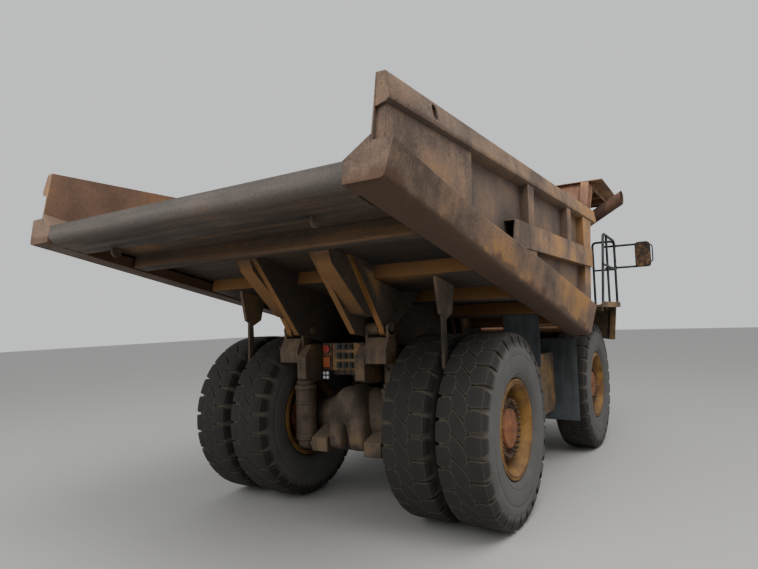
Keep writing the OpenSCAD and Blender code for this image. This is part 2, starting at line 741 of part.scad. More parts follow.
module body_side() {
    tail_top = -2521;
    color(rust) {
        // Wall plate
        side_plate(body_y, wall_y) polygon([slope_pt(10, 20), slope_pt(floor_len, 20),
            [front_top_x, wall_top_z], [tail_top, wall_top_z]]);
        // Lower side rail, a box that leans out
        intersection() {
            on_floor() cross_plate(0, floor_len + 200) polygon([[1690, 0], [1970, 0], [2060, 470],
                [wall_y - 1, 470], [wall_y - 1, floor_w - 20], [1730, 120]]);
            on_floor() side_plate(1600, 2100) polygon(concat([[0, -1], [floor_len, -1]],
                [for (i = [len(rail_rise) - 1 : -1 : 0]) rail_rise[i]]));
        }
        // Top rail
        intersection() {
            cross_plate(tail_top - 40, front_top_x) polygon([[wall_y - 1, wall_top_z],
                [1930, wall_top_z - 12], [1964, wall_top_z - 191], [wall_y - 1, wall_top_z - 225]]);
            side_plate(1800, 2000) polygon([[tail_top - 40, wall_top_z - 230], [tail_top, wall_top_z],
                [front_top_x, wall_top_z], [front_top_x - 120, wall_top_z - 260]]);
        }
        // Middle rail along the front half
        side_plate(wall_y - 1, 1975) polygon([[-480, 2670], [-390, 2920], [3080, 2920], [2960, 2670]]);
        // Upright posts
        for (p = [[-1300, 60], [80, 200], [1620, 200], [2960, 200]])
            side_plate(wall_y - 1, 1945) polygon([[p[0], slope_at(p[0], 200)],
                [p[0] + p[1], slope_at(p[0] + p[1], 200)], [p[0] + p[1] + 40, wall_top_z - 180],
                [p[0] + 40, wall_top_z - 180]]);
    }
}

module body_side_left() { body_side(); }
module body_side_right() { mirror([0, 1, 0]) body_side(); }

// Line square to the front wall, at a distance ahead of its inner face
function wall_pt(z, d) = [front_wall_x(z) + d / cos(front_lean), z];

module body_front_wall() {
    low_z = slope_z(floor_len, 60);
    color(rust) {
        side_plate(1 - wall_y, wall_y - 1) polygon([wall_pt(low_z, 0.3), wall_pt(low_z, wall_t),
            wall_pt(canopy_z, wall_t), wall_pt(canopy_z, 0.3)]);
        // Level stiffeners on the outside
        for (z = [1880, 2500, 3100]) side_plate(1 - wall_y, wall_y - 1) polygon([wall_pt(z, wall_t - 1),
            wall_pt(z, 110), wall_pt(z + 180, 110), wall_pt(z + 180, wall_t - 1)]);
        // Upright stiffeners
        for (y = [-1400, -500, 400, 1300]) side_plate(y, y + 100) polygon([wall_pt(low_z + 10, wall_t - 1),
            wall_pt(low_z + 60, 90), wall_pt(canopy_z - 120, 90), wall_pt(canopy_z - 30, wall_t - 1)]);
    }
}

module body_canopy() {
    rise = tan(canopy_rise);
    color(rust) {
        side_plate(-canopy_half_w, canopy_half_w) polygon([[canopy_x - 60, canopy_z + 0.3], [canopy_x, canopy_z + 0.3],
            [canopy_x + canopy_len, canopy_z + canopy_len * rise],
            [canopy_x + canopy_len, canopy_z + canopy_len * rise + 14],
            [canopy_x, canopy_z + 14.3], [canopy_x - 60, canopy_z + 14.3]]);
        // Side gussets
        both_sides() side_plate(1862, 1876) polygon([wall_pt(wall_top_z + 10, wall_t + 0.3),
            [canopy_x + 80, canopy_z - 110], [canopy_x + canopy_len, canopy_z + canopy_len * rise - 60],
            [canopy_x + canopy_len, canopy_z + canopy_len * rise + 1], [canopy_x, canopy_z + 1],
            wall_pt(canopy_z, wall_t + 0.3)]);
        // Cross ribs under the plate
        for (x = [300, 700, 1100, 1290]) side_plate(-1861, 1861) polygon([[canopy_x + x, canopy_z + x * rise + 1],
            [canopy_x + x, canopy_z + x * rise - 80], [canopy_x + x + 40, canopy_z + x * rise - 80],
            [canopy_x + x + 40, canopy_z + (x + 40) * rise + 1]]);
    }
}

module rock_ejectors() {
    color(cast_grey) both_sides() {
        side_plate(twin_y - 20, twin_y + 20) polygon([[-670, slope_at(-670, 10) - seat_gap], [-600, 2080],
            [-480, 2020], [-360, 2080], [-290, slope_at(-290, 10) - seat_gap]]);
        side_plate(twin_y - 18, twin_y + 18) polygon([[-550, 2100], [-560, 1560], [-520, 1520],
            [-480, 1560], [-490, 2100]]);
    }
}

// Hoist cylinders

hoist_run = [hoist_top_x - hoist_low_x, hoist_top_z - hoist_low_z];
hoist_len = norm(hoist_run);
hoist_angle = atan2(hoist_run[0], hoist_run[1]);
stage_r = hoist_r - 18;
rod_r = 40;
gland_gap = 0.5;

// The hoist's own frame: z runs up along the cylinder from its lower pin
module on_hoist() {
    both_sides() translate([hoist_low_x, hoist_y, hoist_low_z]) rotate([0, hoist_angle, 0]) children();
}

module hoist_barrels() {
    color(ochre) on_hoist() difference() {
        union() {
            translate([0, 0, 60]) cylinder(h = hoist_len - 203, r = hoist_r, $fn = 48);
            rotate([90, 0, 0]) cylinder(h = 110, r = 75, center = true, $fn = 48);
        }
        rotate([90, 0, 0]) cylinder(h = 300, r = 40 + pin_gap, center = true, $fn = 48);
        translate([0, 0, 110]) cylinder(h = hoist_len - 313, r = stage_r + 6, $fn = 48);
        translate([0, 0, 110]) cylinder(h = hoist_len, r = stage_r + gland_gap, $fn = 48);
    }
}

module hoist_stages() {
    color("#b9bcbd") on_hoist() difference() {
        translate([0, 0, 116]) cylinder(h = hoist_len - 229, r = stage_r, $fn = 48);
        translate([0, 0, 136]) cylinder(h = hoist_len - 309, r = rod_r + 12, $fn = 48);
        translate([0, 0, 136]) cylinder(h = hoist_len, r = rod_r + gland_gap, $fn = 48);
    }
}

module hoist_rods() {
    color("#b9bcbd") on_hoist() {
        translate([0, 0, 142]) cylinder(h = hoist_len - 190, r = rod_r, $fn = 48);
        translate([0, 0, hoist_len]) rotate([90, 0, 0]) cylinder(h = 84, r = 62, center = true, $fn = 48);
    }
}

placed() frame();
placed() front_bumper();
placed() engine_block();
placed() driveline();
placed() hood();
placed() radiator_grille();
placed() deck_left();
placed() deck_right();
placed() cab_shell();
placed() cab_glass();
placed() cab_seat();
placed() cab_console();
placed() handrails();
placed() mirrors();
placed() ladders();
placed() side_tanks();
placed() air_cleaner();
placed() exhaust_pipe();
placed() front_struts();
placed() rear_axle();
placed() rear_struts();
placed() rear_lamps();
placed() head_lamps();
placed() mud_flaps();
placed() cab_door();
placed() door_glass();
placed() knuckle();  // knuckle_left
placed() mirror([0, 1, 0]) knuckle();  // knuckle_right
placed() track_rod();
placed() front_rim();  // front_rim_left
placed() mirror([0, 1, 0]) front_rim();  // front_rim_right
placed() tyre(wheelbase, front_y);  // front_tyre_left
placed() mirror([0, 1, 0]) tyre(wheelbase, front_y);  // front_tyre_right
placed() rear_rim();  // rear_rim_left
placed() mirror([0, 1, 0]) rear_rim();  // rear_rim_right
placed() tyre(0, twin_y - twin_pitch / 2);  // rear_tyre_left_inner
placed() tyre(0, twin_y + twin_pitch / 2);  // rear_tyre_left_outer
placed() mirror([0, 1, 0]) tyre(0, twin_y - twin_pitch / 2);  // rear_tyre_right_inner
placed() mirror([0, 1, 0]) tyre(0, twin_y + twin_pitch / 2);  // rear_tyre_right_outer
placed() body_floor();
placed() body_side_left();
placed() body_side_right();
placed() body_front_wall();
placed() body_canopy();
placed() body_flaps();
placed() rock_ejectors();
placed() hoist_barrels();
placed() hoist_stages();
placed() hoist_rods();
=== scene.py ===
import json
import math

import bmesh
import bpy
from mathutils import Matrix, Vector


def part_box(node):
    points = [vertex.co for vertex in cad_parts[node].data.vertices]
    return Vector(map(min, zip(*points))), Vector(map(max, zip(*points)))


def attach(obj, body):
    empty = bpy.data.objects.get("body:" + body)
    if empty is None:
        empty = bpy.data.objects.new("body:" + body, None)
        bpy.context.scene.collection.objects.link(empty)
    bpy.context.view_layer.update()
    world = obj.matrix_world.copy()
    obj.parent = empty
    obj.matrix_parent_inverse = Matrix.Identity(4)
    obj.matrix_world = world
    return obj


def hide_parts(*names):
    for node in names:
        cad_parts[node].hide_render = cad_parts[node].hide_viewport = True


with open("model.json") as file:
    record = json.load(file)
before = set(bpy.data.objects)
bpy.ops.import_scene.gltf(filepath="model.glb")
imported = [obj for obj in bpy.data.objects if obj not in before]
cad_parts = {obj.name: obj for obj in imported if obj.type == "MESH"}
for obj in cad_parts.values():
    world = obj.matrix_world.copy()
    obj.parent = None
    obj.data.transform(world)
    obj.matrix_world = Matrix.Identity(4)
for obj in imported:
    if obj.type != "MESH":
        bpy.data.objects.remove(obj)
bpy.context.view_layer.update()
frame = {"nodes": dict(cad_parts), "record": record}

# Camera
# It stands behind the truck and to its right, as high as a person's eyes, and looks a little
# upwards along the tail of the dump body.
view = bpy.data.cameras.new("camera")
view.sensor_width = 36.0
view.lens = 26.596
camera = bpy.data.objects.new("camera", view)
camera_right = Vector((0.53518, -0.84406, -0.03422))
camera_up = Vector((-0.03414, -0.06209, 0.99751))
camera_back = -Vector((0.84404, 0.53269, 0.06204))
camera_pose = Matrix((camera_right, camera_up, camera_back)).transposed().to_4x4()
camera_pose.translation = (-6.7185, -3.607, 2.043)
camera.matrix_world = camera_pose
bpy.context.scene.collection.objects.link(camera)
bpy.context.scene.camera = camera

# Frame rails, bumper and the brackets on them
# Rolled and pressed steel plate, welded into two deep box rails with cross members, then
# sprayed with machine enamel. Years of quarry work have left it chalky, chipped and dusty.


def linear(colour):
    """Linear light values of an sRGB colour written in hex."""
    parts = [int(colour[i:i + 2], 16) / 255 for i in (1, 3, 5)]
    return tuple(p / 12.92 if p <= 0.04045 else ((p + 0.055) / 1.055) ** 2.4 for p in parts) + (1.0,)


def add(tree, kind, inputs=None, **settings):
    """Adds one node with its settings, its input values and the links into it."""
    made = tree.nodes.new(kind)
    for name, value in settings.items():
        setattr(made, name, value)
    for key, value in (inputs or {}).items():
        if isinstance(value, bpy.types.NodeSocket):
            tree.links.new(value, made.inputs[key])
        else:
            made.inputs[key].default_value = value
    return made


def new_finish(name):
    """An empty material with its node tree and the output that the shader goes to."""
    finish = bpy.data.materials.new(name)
    finish.use_nodes = True
    tree = finish.node_tree
    tree.nodes.clear()
    return finish, tree, tree.nodes.new("ShaderNodeOutputMaterial")


def weathered_plate(name, tones, dust, grime_and_shade, fresh=0.0, mottled=0.8, streaked=0.4, dusty=0.4,
                    under=0.5, patch=0.5, grain=0.018, dents=0.0, rough=0.62, run="Z",
                    scoured=None, forward=0.0, mud=None, hanging=False):
    """Painted steel plate in four tones, from bare rust to the freshest paint.

    Mottling, rain runs, specks and worn edges choose the tone; dust lies on what faces up. The colour
    grime_and_shade, by the share under, darkens what faces down and the hollows: partly dirt, partly
    painted shade. Lengths are in metres, and shares run from 0 to 1. The word run is the axis that the
    streaks follow, scoured the tone of faces turned to the middle of the truck, which also darkens the
    recessed outer panels with painted shade, and forward adds paint towards the front of the dump body.
    The pair mud is the tilt of the dump body's floor, and how high, square to that floor, mud has been
    thrown. With hanging, the top is scoured bare, and what hangs low is darkened with painted shade,
    with ochre on the faces turned to the rear."""
    finish, tree, out = new_finish(name)
    where = add(tree, "ShaderNodeTexCoord")
    spot = where.outputs["Object"]
    place = add(tree, "ShaderNodeSeparateXYZ", {"Vector": spot}).outputs
    facing = add(tree, "ShaderNodeSeparateXYZ", {"Vector": where.outputs["Normal"]}).outputs
    long_way = {"Z": (1 / 0.07, 1 / 0.07, 1 / 0.55), "Y": (1 / 0.09, 1 / 1.6, 1 / 0.09)}[run]
    stretched = add(tree, "ShaderNodeMapping", {"Vector": spot, "Scale": long_way}).outputs[0]
    patches, broad, streaks, specks = [
        add(tree, "ShaderNodeTexNoise", {"Vector": vector, "Scale": scale, "Detail": detail,
            "Roughness": roughness}).outputs["Fac"]
        for vector, scale, detail, roughness in (
            (spot, 1 / patch, 8.0, 0.6), (spot, 1 / (patch * 3.2), 2.0, 0.5),
            (stretched, 1.0, 5.0, 0.6), (spot, 1 / grain, 5.0, 0.65))]
    edge = add(tree, "ShaderNodeBevel", {"Radius": 0.012}, samples=4).outputs["Normal"]
    flat = add(tree, "ShaderNodeNewGeometry").outputs["Normal"]
    turn = add(tree, "ShaderNodeVectorMath", {0: edge, 1: flat}, operation="DOT_PRODUCT")
    hollow = add(tree, "ShaderNodeAmbientOcclusion", {"Distance": 0.3}, samples=4, only_local=True)
    # Worn edges, paint towards the front, grain, painted shade in hollows and on faces turned down
    # (in the grime colour, partly real grime), cakes of grime, upward faces, and drifts of dust
    worn, ahead, fine, hollow_shade, underside_shade_and_grime, caked, upward, drift = [
        add(tree, "ShaderNodeMapRange", {"Value": source, "From Min": start, "From Max": end,
            "To Min": least, "To Max": most}).outputs[0]
        for source, start, end, least, most in (
            (turn.outputs["Value"], 0.995, 0.9, 0.0, -0.14),
            (place["X"], -1.2, 1.9, fresh, fresh + forward), (specks, 0.3, 0.7, 0.86, 1.1),
            (hollow.outputs["AO"], 0.95, 0.45, 0.0, under), (facing["Z"], -0.15, -0.75, 0.0, under),
            (patches, 0.35, 0.6, 0.6, 1.0), (facing["Z"], -0.1, 0.85, 0.1, 1.0),
            (broad, 0.3, 0.7, 0.35, 1.0))]
    total = add(tree, "ShaderNodeMath", {0: worn, 1: ahead}, operation="ADD").outputs[0]
    for noise, share in ((patches, mottled), (broad, mottled * 0.7), (streaks, streaked), (specks, 0.3)):
        total = add(tree, "ShaderNodeMath", {0: noise, 1: share, 2: total},
                    operation="MULTIPLY_ADD").outputs[0]
    middle = 0.5 * (mottled * 1.7 + streaked + 0.3)
    tone = linear(tones[0])
    for level, lighter in zip((-0.13, 0.0, 0.13), tones[1:]):
        share = add(tree, "ShaderNodeMapRange", {"Value": total, "From Min": middle + level - 0.1,
                    "From Max": middle + level + 0.1}, interpolation_type="SMOOTHSTEP")
        tone = add(tree, "ShaderNodeMix", {0: share.outputs[0], 6: tone, 7: linear(lighter)},
                   data_type="RGBA").outputs[2]
    coats = []
    if scoured:
        inward = add(tree, "ShaderNodeMath", {0: place["Y"], 1: facing["Y"]}, operation="MULTIPLY")
        off_middle = add(tree, "ShaderNodeMath", {0: place["Y"]}, operation="ABSOLUTE")
        recess_shade_share, outward, rubbed = [
            add(tree, "ShaderNodeMapRange", {"Value": source.outputs[0], "From Min": start,
                "From Max": end, "To Min": 0.0, "To Max": most}).outputs[0]
            for source, start, end, most in ((off_middle, 1.9, 1.87, 0.6), (inward, 1.5, 1.7, 1.0),
                                             (inward, -0.2, -0.8, 0.75))]
        # Painted shade: the recessed outer wall panels between the rails are darkened grey-brown, partly as
        # dirt.
        panel = add(tree, "ShaderNodeMath", {0: recess_shade_share, 1: outward}, operation="MULTIPLY")
        coats += [(panel.outputs[0], linear("#544a45")), (rubbed, linear(scoured))]
    if hanging:
        bare, polished = [
            add(tree, "ShaderNodeMix", {0: noise, 6: linear(dark), 7: linear(pale)},
                data_type="RGBA").outputs[2]
            for noise, dark, pale in ((patches, "#4c423a", "#877b6e"), (streaks, "#4a4541", "#6e6864"))]
        # Painted shade: what hangs low under the body is darkened (#3a322b).
        top, low, aft, lip = [
            add(tree, "ShaderNodeMapRange", {"Value": source, "From Min": start, "From Max": end,
                "To Min": 0.0, "To Max": most}).outputs[0]
            for source, start, end, most in (
                (facing["Z"], 0.7, 0.9, 0.8), (place["Z"], 2.75, 2.55, 0.8),
                (facing["X"], -0.3, -0.6, 1.0), (place["X"], -3.93, -3.99, 0.75))]
        both = add(tree, "ShaderNodeMath", {0: low, 1: aft}, operation="MULTIPLY").outputs[0]
        coats += [(top, bare), (low, linear("#3a322b")), (both, linear("#9a6a31")), (lip, polished)]
    if mud:
        tilt, reach = mud
        above = add(tree, "ShaderNodeVectorMath", {0: spot, 1: (math.sin(tilt), 0.0, math.cos(tilt))},
                    operation="DOT_PRODUCT")
        wavy = add(tree, "ShaderNodeTexNoise", {"Vector": spot, "Scale": 1 / 0.3, "Detail": 5.0,
                   "Roughness": 0.55})
        waved = add(tree, "ShaderNodeMath", {0: wavy.outputs["Fac"], 1: -0.3, 2: above.outputs["Value"]},
                    operation="MULTIPLY_ADD")
        splashed = add(tree, "ShaderNodeMapRange", {"Value": waved.outputs[0], "From Min": reach + 0.02,
                       "From Max": reach - 0.02, "To Min": 0.0, "To Max": 0.85})
        coats.append((splashed.outputs[0], linear("#5a3d29")))
    for share, colour in coats:
        tone = add(tree, "ShaderNodeMix", {0: share, 6: tone, 7: colour}, data_type="RGBA").outputs[2]
    shown = add(tree, "ShaderNodeVectorMath", {0: tone, "Scale": fine}, operation="SCALE").outputs[0]
    # Painted shade: hollows and faces turned down are darkened with the grime colour, partly as dirt.
    below = add(tree, "ShaderNodeMath", {0: hollow_shade, 1: underside_shade_and_grime}, operation="MAXIMUM").outputs[0]
    grime_and_shade_share = add(tree, "ShaderNodeMath", {0: below, 1: caked}, operation="MULTIPLY").outputs[0]
    powder = add(tree, "ShaderNodeMath", {0: upward, 1: drift}, operation="MULTIPLY").outputs[0]
    veil = add(tree, "ShaderNodeMath", {0: powder, 1: dusty}, operation="MULTIPLY").outputs[0]
    for share, colour in ((grime_and_shade_share, grime_and_shade), (veil, dust)):
        shown = add(tree, "ShaderNodeMix", {0: share, 6: shown, 7: linear(colour)},
                    data_type="RGBA").outputs[2]
    shine = add(tree, "ShaderNodeMapRange", {"Value": total, "From Min": middle - 0.15,
                "From Max": middle + 0.15, "To Min": 0.86, "To Max": rough})
    height = add(tree, "ShaderNodeMath", {0: specks, 1: 0.6, 2: patches}, operation="MULTIPLY_ADD")
    relief = add(tree, "ShaderNodeBump", {"Strength": 0.3, "Distance": 0.004,
                 "Height": height.outputs[0], "Normal": edge})
    if dents:
        waves = add(tree, "ShaderNodeTexNoise", {"Vector": spot, "Scale": 1 / dents, "Detail": 1.0})
        relief = add(tree, "ShaderNodeBump", {"Strength": 0.6, "Distance": 0.03,
                     "Height": waves.outputs["Fac"], "Normal": relief.outputs["Normal"]})
    shader = add(tree, "ShaderNodeBsdfPrincipled", {"Base Color": shown, "Roughness": shine.outputs[0],
                 "Normal": relief.outputs["Normal"]})
    tree.links.new(shader.outputs[0], out.inputs[0])
    return finish


def dress(node, finish):
    """Gives a CAD node the finish of its real surface."""
    piece = frame["nodes"][node]
    piece.data.materials.clear()
    piece.data.materials.append(finish)


rear_axle_x = -1.3675
node_body = {node: body for body, nodes in frame["record"]["behaviour"]["bodies"].items()
             for node in nodes}


def skin(rings):
    """Closed body through rings of equally many points, with a face at each end."""
    count = len(rings[0])
    points = [point for ring in rings for point in ring]
    faces = [tuple(range(count)), tuple((len(rings) - 1) * count + i for i in range(count))]
    for k in range(len(rings) - 1):
        for i in range(count):
            j = (i + 1) % count
            faces.append((k * count + i, k * count + j, (k + 1) * count + j, (k + 1) * count + i))
    return points, faces


def plate(outline, y0, y1):
    """Flat plate whose outline of (forward from the rear axle, up) points runs from y0 to y1."""
    return skin([[(x + rear_axle_x, y, z) for x, z in outline] for y in (y0, y1)])


def cross(outline, x0, x1):
    """Flat plate across the truck whose outline of (left, up) points runs from x0 to x1."""
    return skin([[(x + rear_axle_x, y, z) for y, z in outline] for x in (x0, x1)])


def brick(low, high):
    """Bar or plate between two corners, forward being counted from the rear axle."""
    return plate([(low[0], low[2]), (high[0], low[2]), (high[0], high[2]), (low[0], high[2])],
                 low[1], high[1])


def rings_along(route, r, sides=12):
    """Rings of points round a route, forward being counted from the rear axle."""
    path = [Vector((x + rear_axle_x, y, z)) for x, y, z in route]
    rings = []
    for k, point in enumerate(path):
        before = (point - path[k - 1]).normalized() if k else (path[1] - point).normalized()
        after = (path[k + 1] - point).normalized() if k < len(path) - 1 else before
        along = (before + after).normalized()
        if not rings:
            across = along.orthogonal().normalized()
        else:
            across = (across - along * across.dot(along)).normalized()
        other = along.cross(across)
        stretch = 1 / max(0.5, along.dot(after))
        bend = after - before
        ring = []
        for i in range(sides):
            a = 2 * math.pi * i / sides
            arm = across * math.cos(a) + other * math.sin(a)
            if bend.length > 0.01:
                lean = bend.normalized()
                arm = arm + lean * arm.dot(lean) * (stretch - 1)
            ring.append(tuple(point + arm * r))
        rings.append(ring)
    return rings


def pipe(route, r, sides=12):
    """Round bar or tube along a route of points."""
    return skin(rings_along(route, r, sides))


def curved(route, radius, steps=5):
    """The same route with its corners rounded."""
    path = [Vector(point) for point in route]
    smooth = [path[0]]
    for before, corner, after in zip(path, path[1:], path[2:]):
        reach = min(radius, (before - corner).length * 0.49, (after - corner).length * 0.49)
        start = corner + (before - corner).normalized() * reach
        end = corner + (after - corner).normalized() * reach
        for k in range(steps + 1):
            t = k / steps
            smooth.append(start * (1 - t) ** 2 + corner * 2 * t * (1 - t) + end * t ** 2)
    return smooth + [path[-1]]


def mirrored(parts):
    """The same bodies on the other side of the truck."""
    return [([(x, -y, z) for x, y, z in points], faces) for points, faces in parts]


def round_bar(centre, y0, y1, r, steps=28):
    """Round bar along the Y axis, about a (forward from the rear axle, up) centre."""
    turns = [2 * math.pi * k / steps for k in range(steps)]
    return plate([(centre[0] + r * math.cos(a), centre[1] + r * math.sin(a)) for a in turns], y0, y1)


def stand(name, mesh):
    """Puts a mesh into the scene as an object."""
    piece = bpy.data.objects.new(name, mesh)
    bpy.context.scene.collection.objects.link(piece)
    return piece


def round_edges(piece, width, angle):
    """Rolls or grinds the edges that turn by more than the angle."""
    rounding = piece.modifiers.new("rounded edges", "BEVEL")
    rounding.width = width
    rounding.segments = 2
    rounding.limit_method = "ANGLE"
    rounding.angle_limit = math.radians(angle)
    rounding.harden_normals = True


def build(name, parts, finish, sharp=35.0, soften=0.0):
    """One mesh object from several closed bodies, with outward faces and smooth round surfaces."""
    points = []
    faces = []
    for part_points, part_faces in parts:
        start = len(points)
        points += [tuple(p) for p in part_points]
        faces += [tuple(start + i for i in face) for face in part_faces]
    mesh = bpy.data.meshes.new(name)
    mesh.from_pydata(points, [], faces)
    work = bmesh.new()
    work.from_mesh(mesh)
    bmesh.ops.recalc_face_normals(work, faces=work.faces)
    work.to_mesh(mesh)
    work.free()
    mesh.shade_smooth()
    mesh.set_sharp_from_angle(angle=math.radians(sharp))
    mesh.materials.append(finish)
    piece = stand(name, mesh)
    if soften:
        round_edges(piece, soften, 40)
    return piece


def settle(piece):
    """Turns what a piece's modifiers make into its plain mesh."""
    graph = bpy.context.evaluated_depsgraph_get()
    plain = bpy.data.meshes.new_from_object(piece.evaluated_get(graph), preserve_all_data_layers=True,
                                            depsgraph=graph)
    piece.modifiers.clear()
    piece.data = plain
    return piece


def seat(piece, body, slot, *nodes):
    """Fixes a finished piece to its body, and hides the CAD nodes that it stands for."""
    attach(piece, body)
    if nodes:
        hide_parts(*nodes)
    return piece


def join(name, pieces):
    """One object from several, with its mesh at the origin."""
    base = bmesh.new()
    finishes = []
    for piece in pieces:
        mark = len(base.faces)
        base.from_mesh(piece.data)
        base.faces.ensure_lookup_table()
        own = list(piece.data.materials)
        for finish in own:
            if finish not in finishes:
                finishes.append(finish)
        for face in base.faces[mark:]:
            face.material_index = finishes.index(own[face.material_index])
    mesh = bpy.data.meshes.new(name)
    base.to_mesh(mesh)
    base.free()
    for finish in finishes:
        mesh.materials.append(finish)
    for piece in pieces:
        bpy.data.objects.remove(piece)
    return stand(name, mesh)


def carve(piece, tool):
    """Cuts one closed shape out of another."""
    work = piece.modifiers.new("cut", "BOOLEAN")
    work.object = tool
    work.operation = "DIFFERENCE"
    work.solver = "EXACT"
    settle(piece)
    bpy.data.objects.remove(tool)
    return piece


def seat_pair(name, parts, finish, soften, body, slot, *nodes):
    """Builds parts and their mirror images as one piece, and fixes it."""
    return seat(settle(build(name, parts + mirrored(parts), finish, soften=soften)), body, slot, *nodes)


def rounded(node, finish, slot, width=0.004):
    """Stands in for a CAD node with the same shape, its edges rolled or ground round."""
    fold = 32
    mesh = frame["nodes"][node].data.copy()
    work = bmesh.new()
    work.from_mesh(mesh)
    bmesh.ops.remove_doubles(work, verts=work.verts, dist=0.00002)
    bmesh.ops.dissolve_limit(work, angle_limit=math.radians(0.6), verts=work.verts, edges=work.edges)
    work.to_mesh(mesh)
    work.free()
    mesh.shade_smooth()
    mesh.set_sharp_from_angle(angle=math.radians(fold))
    mesh.materials.clear()
    mesh.materials.append(finish)
    piece = stand(node + "_finished", mesh)
    round_edges(piece, width, fold)
    return seat(settle(piece), node_body[node], slot, node)


# Chalky ochre enamel that wear has opened to rust, with brown dust and painted shade in every corner.
frame_enamel = weathered_plate("chalky enamel on steel plate", ("#36291f", "#59422c", "#856438", "#ad8342"),
                               "#85796a", "#3a322a", fresh=-0.02, streaked=0.3, dusty=0.55, under=0.6)
for node in ("front_bumper", "hood", "air_cleaner"):
    rounded(node, frame_enamel, "frame_paint")
# The same enamel on the rails, darker: partly dark oily dust, partly painted shade, as the rails lie in shade
# under the truck.
shaded_rail_enamel = weathered_plate("grimy enamel on the frame rails", ("#2a241e", "#40352a", "#5e4a31", "#856536"),
                              "#776c5e", "#2b2621", streaked=0.3, dusty=0.45, under=0.6, patch=0.35)
for node in ("frame", "side_tanks"):
    rounded(node, shaded_rail_enamel, "frame_paint", 0.003)

# Outriggers that carry the outer ears of the body pivot, each with its cap, pin and two bolts
pivot = (-0.52, 1.95)
boss_inner = 0.655
boss_outer = 0.69
outrigger = [plate([(-0.65, 1.6), (-0.65, 1.74), (-0.58, 1.862), (-0.46, 1.862), (-0.43, 1.8),
                    (-0.43, 1.665), (-0.48, 1.6)], 0.436, boss_outer),
             plate([(-0.58, 1.85), (-0.58, 1.95), (-0.46, 1.95), (-0.46, 1.85)], boss_inner, boss_outer),
             round_bar(pivot, boss_inner, boss_outer, 0.065), round_bar(pivot, 0.6, 0.70, 0.04)]
outrigger += [round_bar(spot, boss_outer - 0.005, 0.702, 0.024) for spot in ((-0.62, 1.7), (-0.47, 1.73))]
seat_pair("pivot_outriggers", outrigger, shaded_rail_enamel, 0.004, "chassis", "frame_paint")

# Decks with their toe boards, and the aprons that close the front wheel arches
deck_back = 3.3
deck_front = 4.85
deck_low = 2.11
deck_top = 2.15
deck_edge = 1.98
apron_back = 4.787
for side in ("left", "right"):
    deck = [brick((deck_back, 0.5503, deck_low), (deck_front, deck_edge, deck_top)),
            brick((deck_back, deck_edge - 0.0001, deck_low),
                  (deck_front, deck_edge + 0.01, deck_top + 0.045)),
            cross([(1.05, 2.111), (1.05, 1.7), (1.8, 1.57), (1.88, 1.57), (1.93, 2.111)], apron_back, 4.8),
            cross([(1.84, 2.111), (1.79, 1.575), (1.88, 1.57), (1.93, 2.111)], 4.74, 4.7841)]
    under = [cross([(1.06, 2.109), (1.06, 1.71), (1.78, 1.585), (1.83, 2.109)], 4.781,
                   apron_back + 0.0001)]
    under += [brick((x, 0.6, 2.07), (x + 0.06, 1.9, deck_low + 0.0001)) for x in (3.34, 4.1)]
    if side == "right":
        deck = mirrored(deck)
        under = mirrored(under)
    upper = settle(build("deck top", deck, frame_enamel, soften=0.002))
    # The ribs and apron plates under the deck take the darker rail enamel, whose darkness is partly painted
    # shade.
    lower = settle(build("deck ribs", under, shaded_rail_enamel, soften=0.002))
    seat(join("deck_plates_" + side, [upper, lower]), "chassis", "frame_paint", "deck_" + side)

# Engine, gearbox and shafts
# Grey iron castings with milled faces, bolted into the frame on rubber feet. Oil has caught the
# dust on them, which leaves a dull brown skin.
# Dull ochre brown with dark hollows, partly oily dirt and partly painted shade: iron that has never been
# washed.
casting_skin = weathered_plate("sand-cast iron under oily dust", ("#29231e", "#443930", "#5f5041", "#7b6244"),
                               "#8a7d6b", "#2f2924", streaked=0.2, dusty=0.5, under=0.45, patch=0.22,
                               grain=0.006, rough=0.7)
for node in ("driveline", "knuckle_left", "knuckle_right", "track_rod", "rock_ejectors"):
    rounded(node, casting_skin, "cast_steel", 0.004)


def turned(profile, steps):
    """Closed ring surface: a closed outline of (radius, sideways) points, turned about the Y axis."""
    points = []
    faces = []
    count = len(profile)
    for k in range(steps):
        a = 2 * math.pi * k / steps
        points += [(r * math.sin(a), y, r * math.cos(a)) for r, y in profile]
    for k in range(steps):
        near = k * count
        far = (k + 1) % steps * count
        for i in range(count):
            j = (i + 1) % count
            faces.append((near + i, near + j, far + j, far + i))
    return points, faces


def disc(profile, steps):
    """Closed turned body whose outline starts and ends on the Y axis."""
    points = [(0.0, profile[0][1], 0.0), (0.0, profile[-1][1], 0.0)]
    faces = []
    inner = profile[1:-1]
    count = len(inner)
    for k in range(steps):
        a = 2 * math.pi * k / steps
        points += [(r * math.sin(a), y, r * math.cos(a)) for r, y in inner]
    for k in range(steps):
        near = 2 + k * count
        far = 2 + (k + 1) % steps * count
        faces.append((0, near, far))
        for i in range(count - 1):
            faces.append((near + i, near + i + 1, far + i + 1, far + i))
        faces.append((near + count - 1, 1, far + count - 1))
    return points, faces


# Rear axle: a turned beam, the bell of its centre housing, and the arms of the suspension cylinders
hub_height = 0.9365
half_beam = [(0.0, 1.59), (0.17, 1.59), (0.17, 0.65), (0.21, 0.6), (0.23, 0.42), (0.29, 0.3),
             (0.33, 0.2), (0.348, 0.08)]
beam_points, beam_faces = disc([(r, -y) for r, y in half_beam] + half_beam[::-1], 40)
beam_at_axle = [(x + rear_axle_x, y, z + hub_height) for x, y, z in beam_points]
beam = build("beam", [(beam_at_axle, beam_faces)], casting_skin, sharp=40)

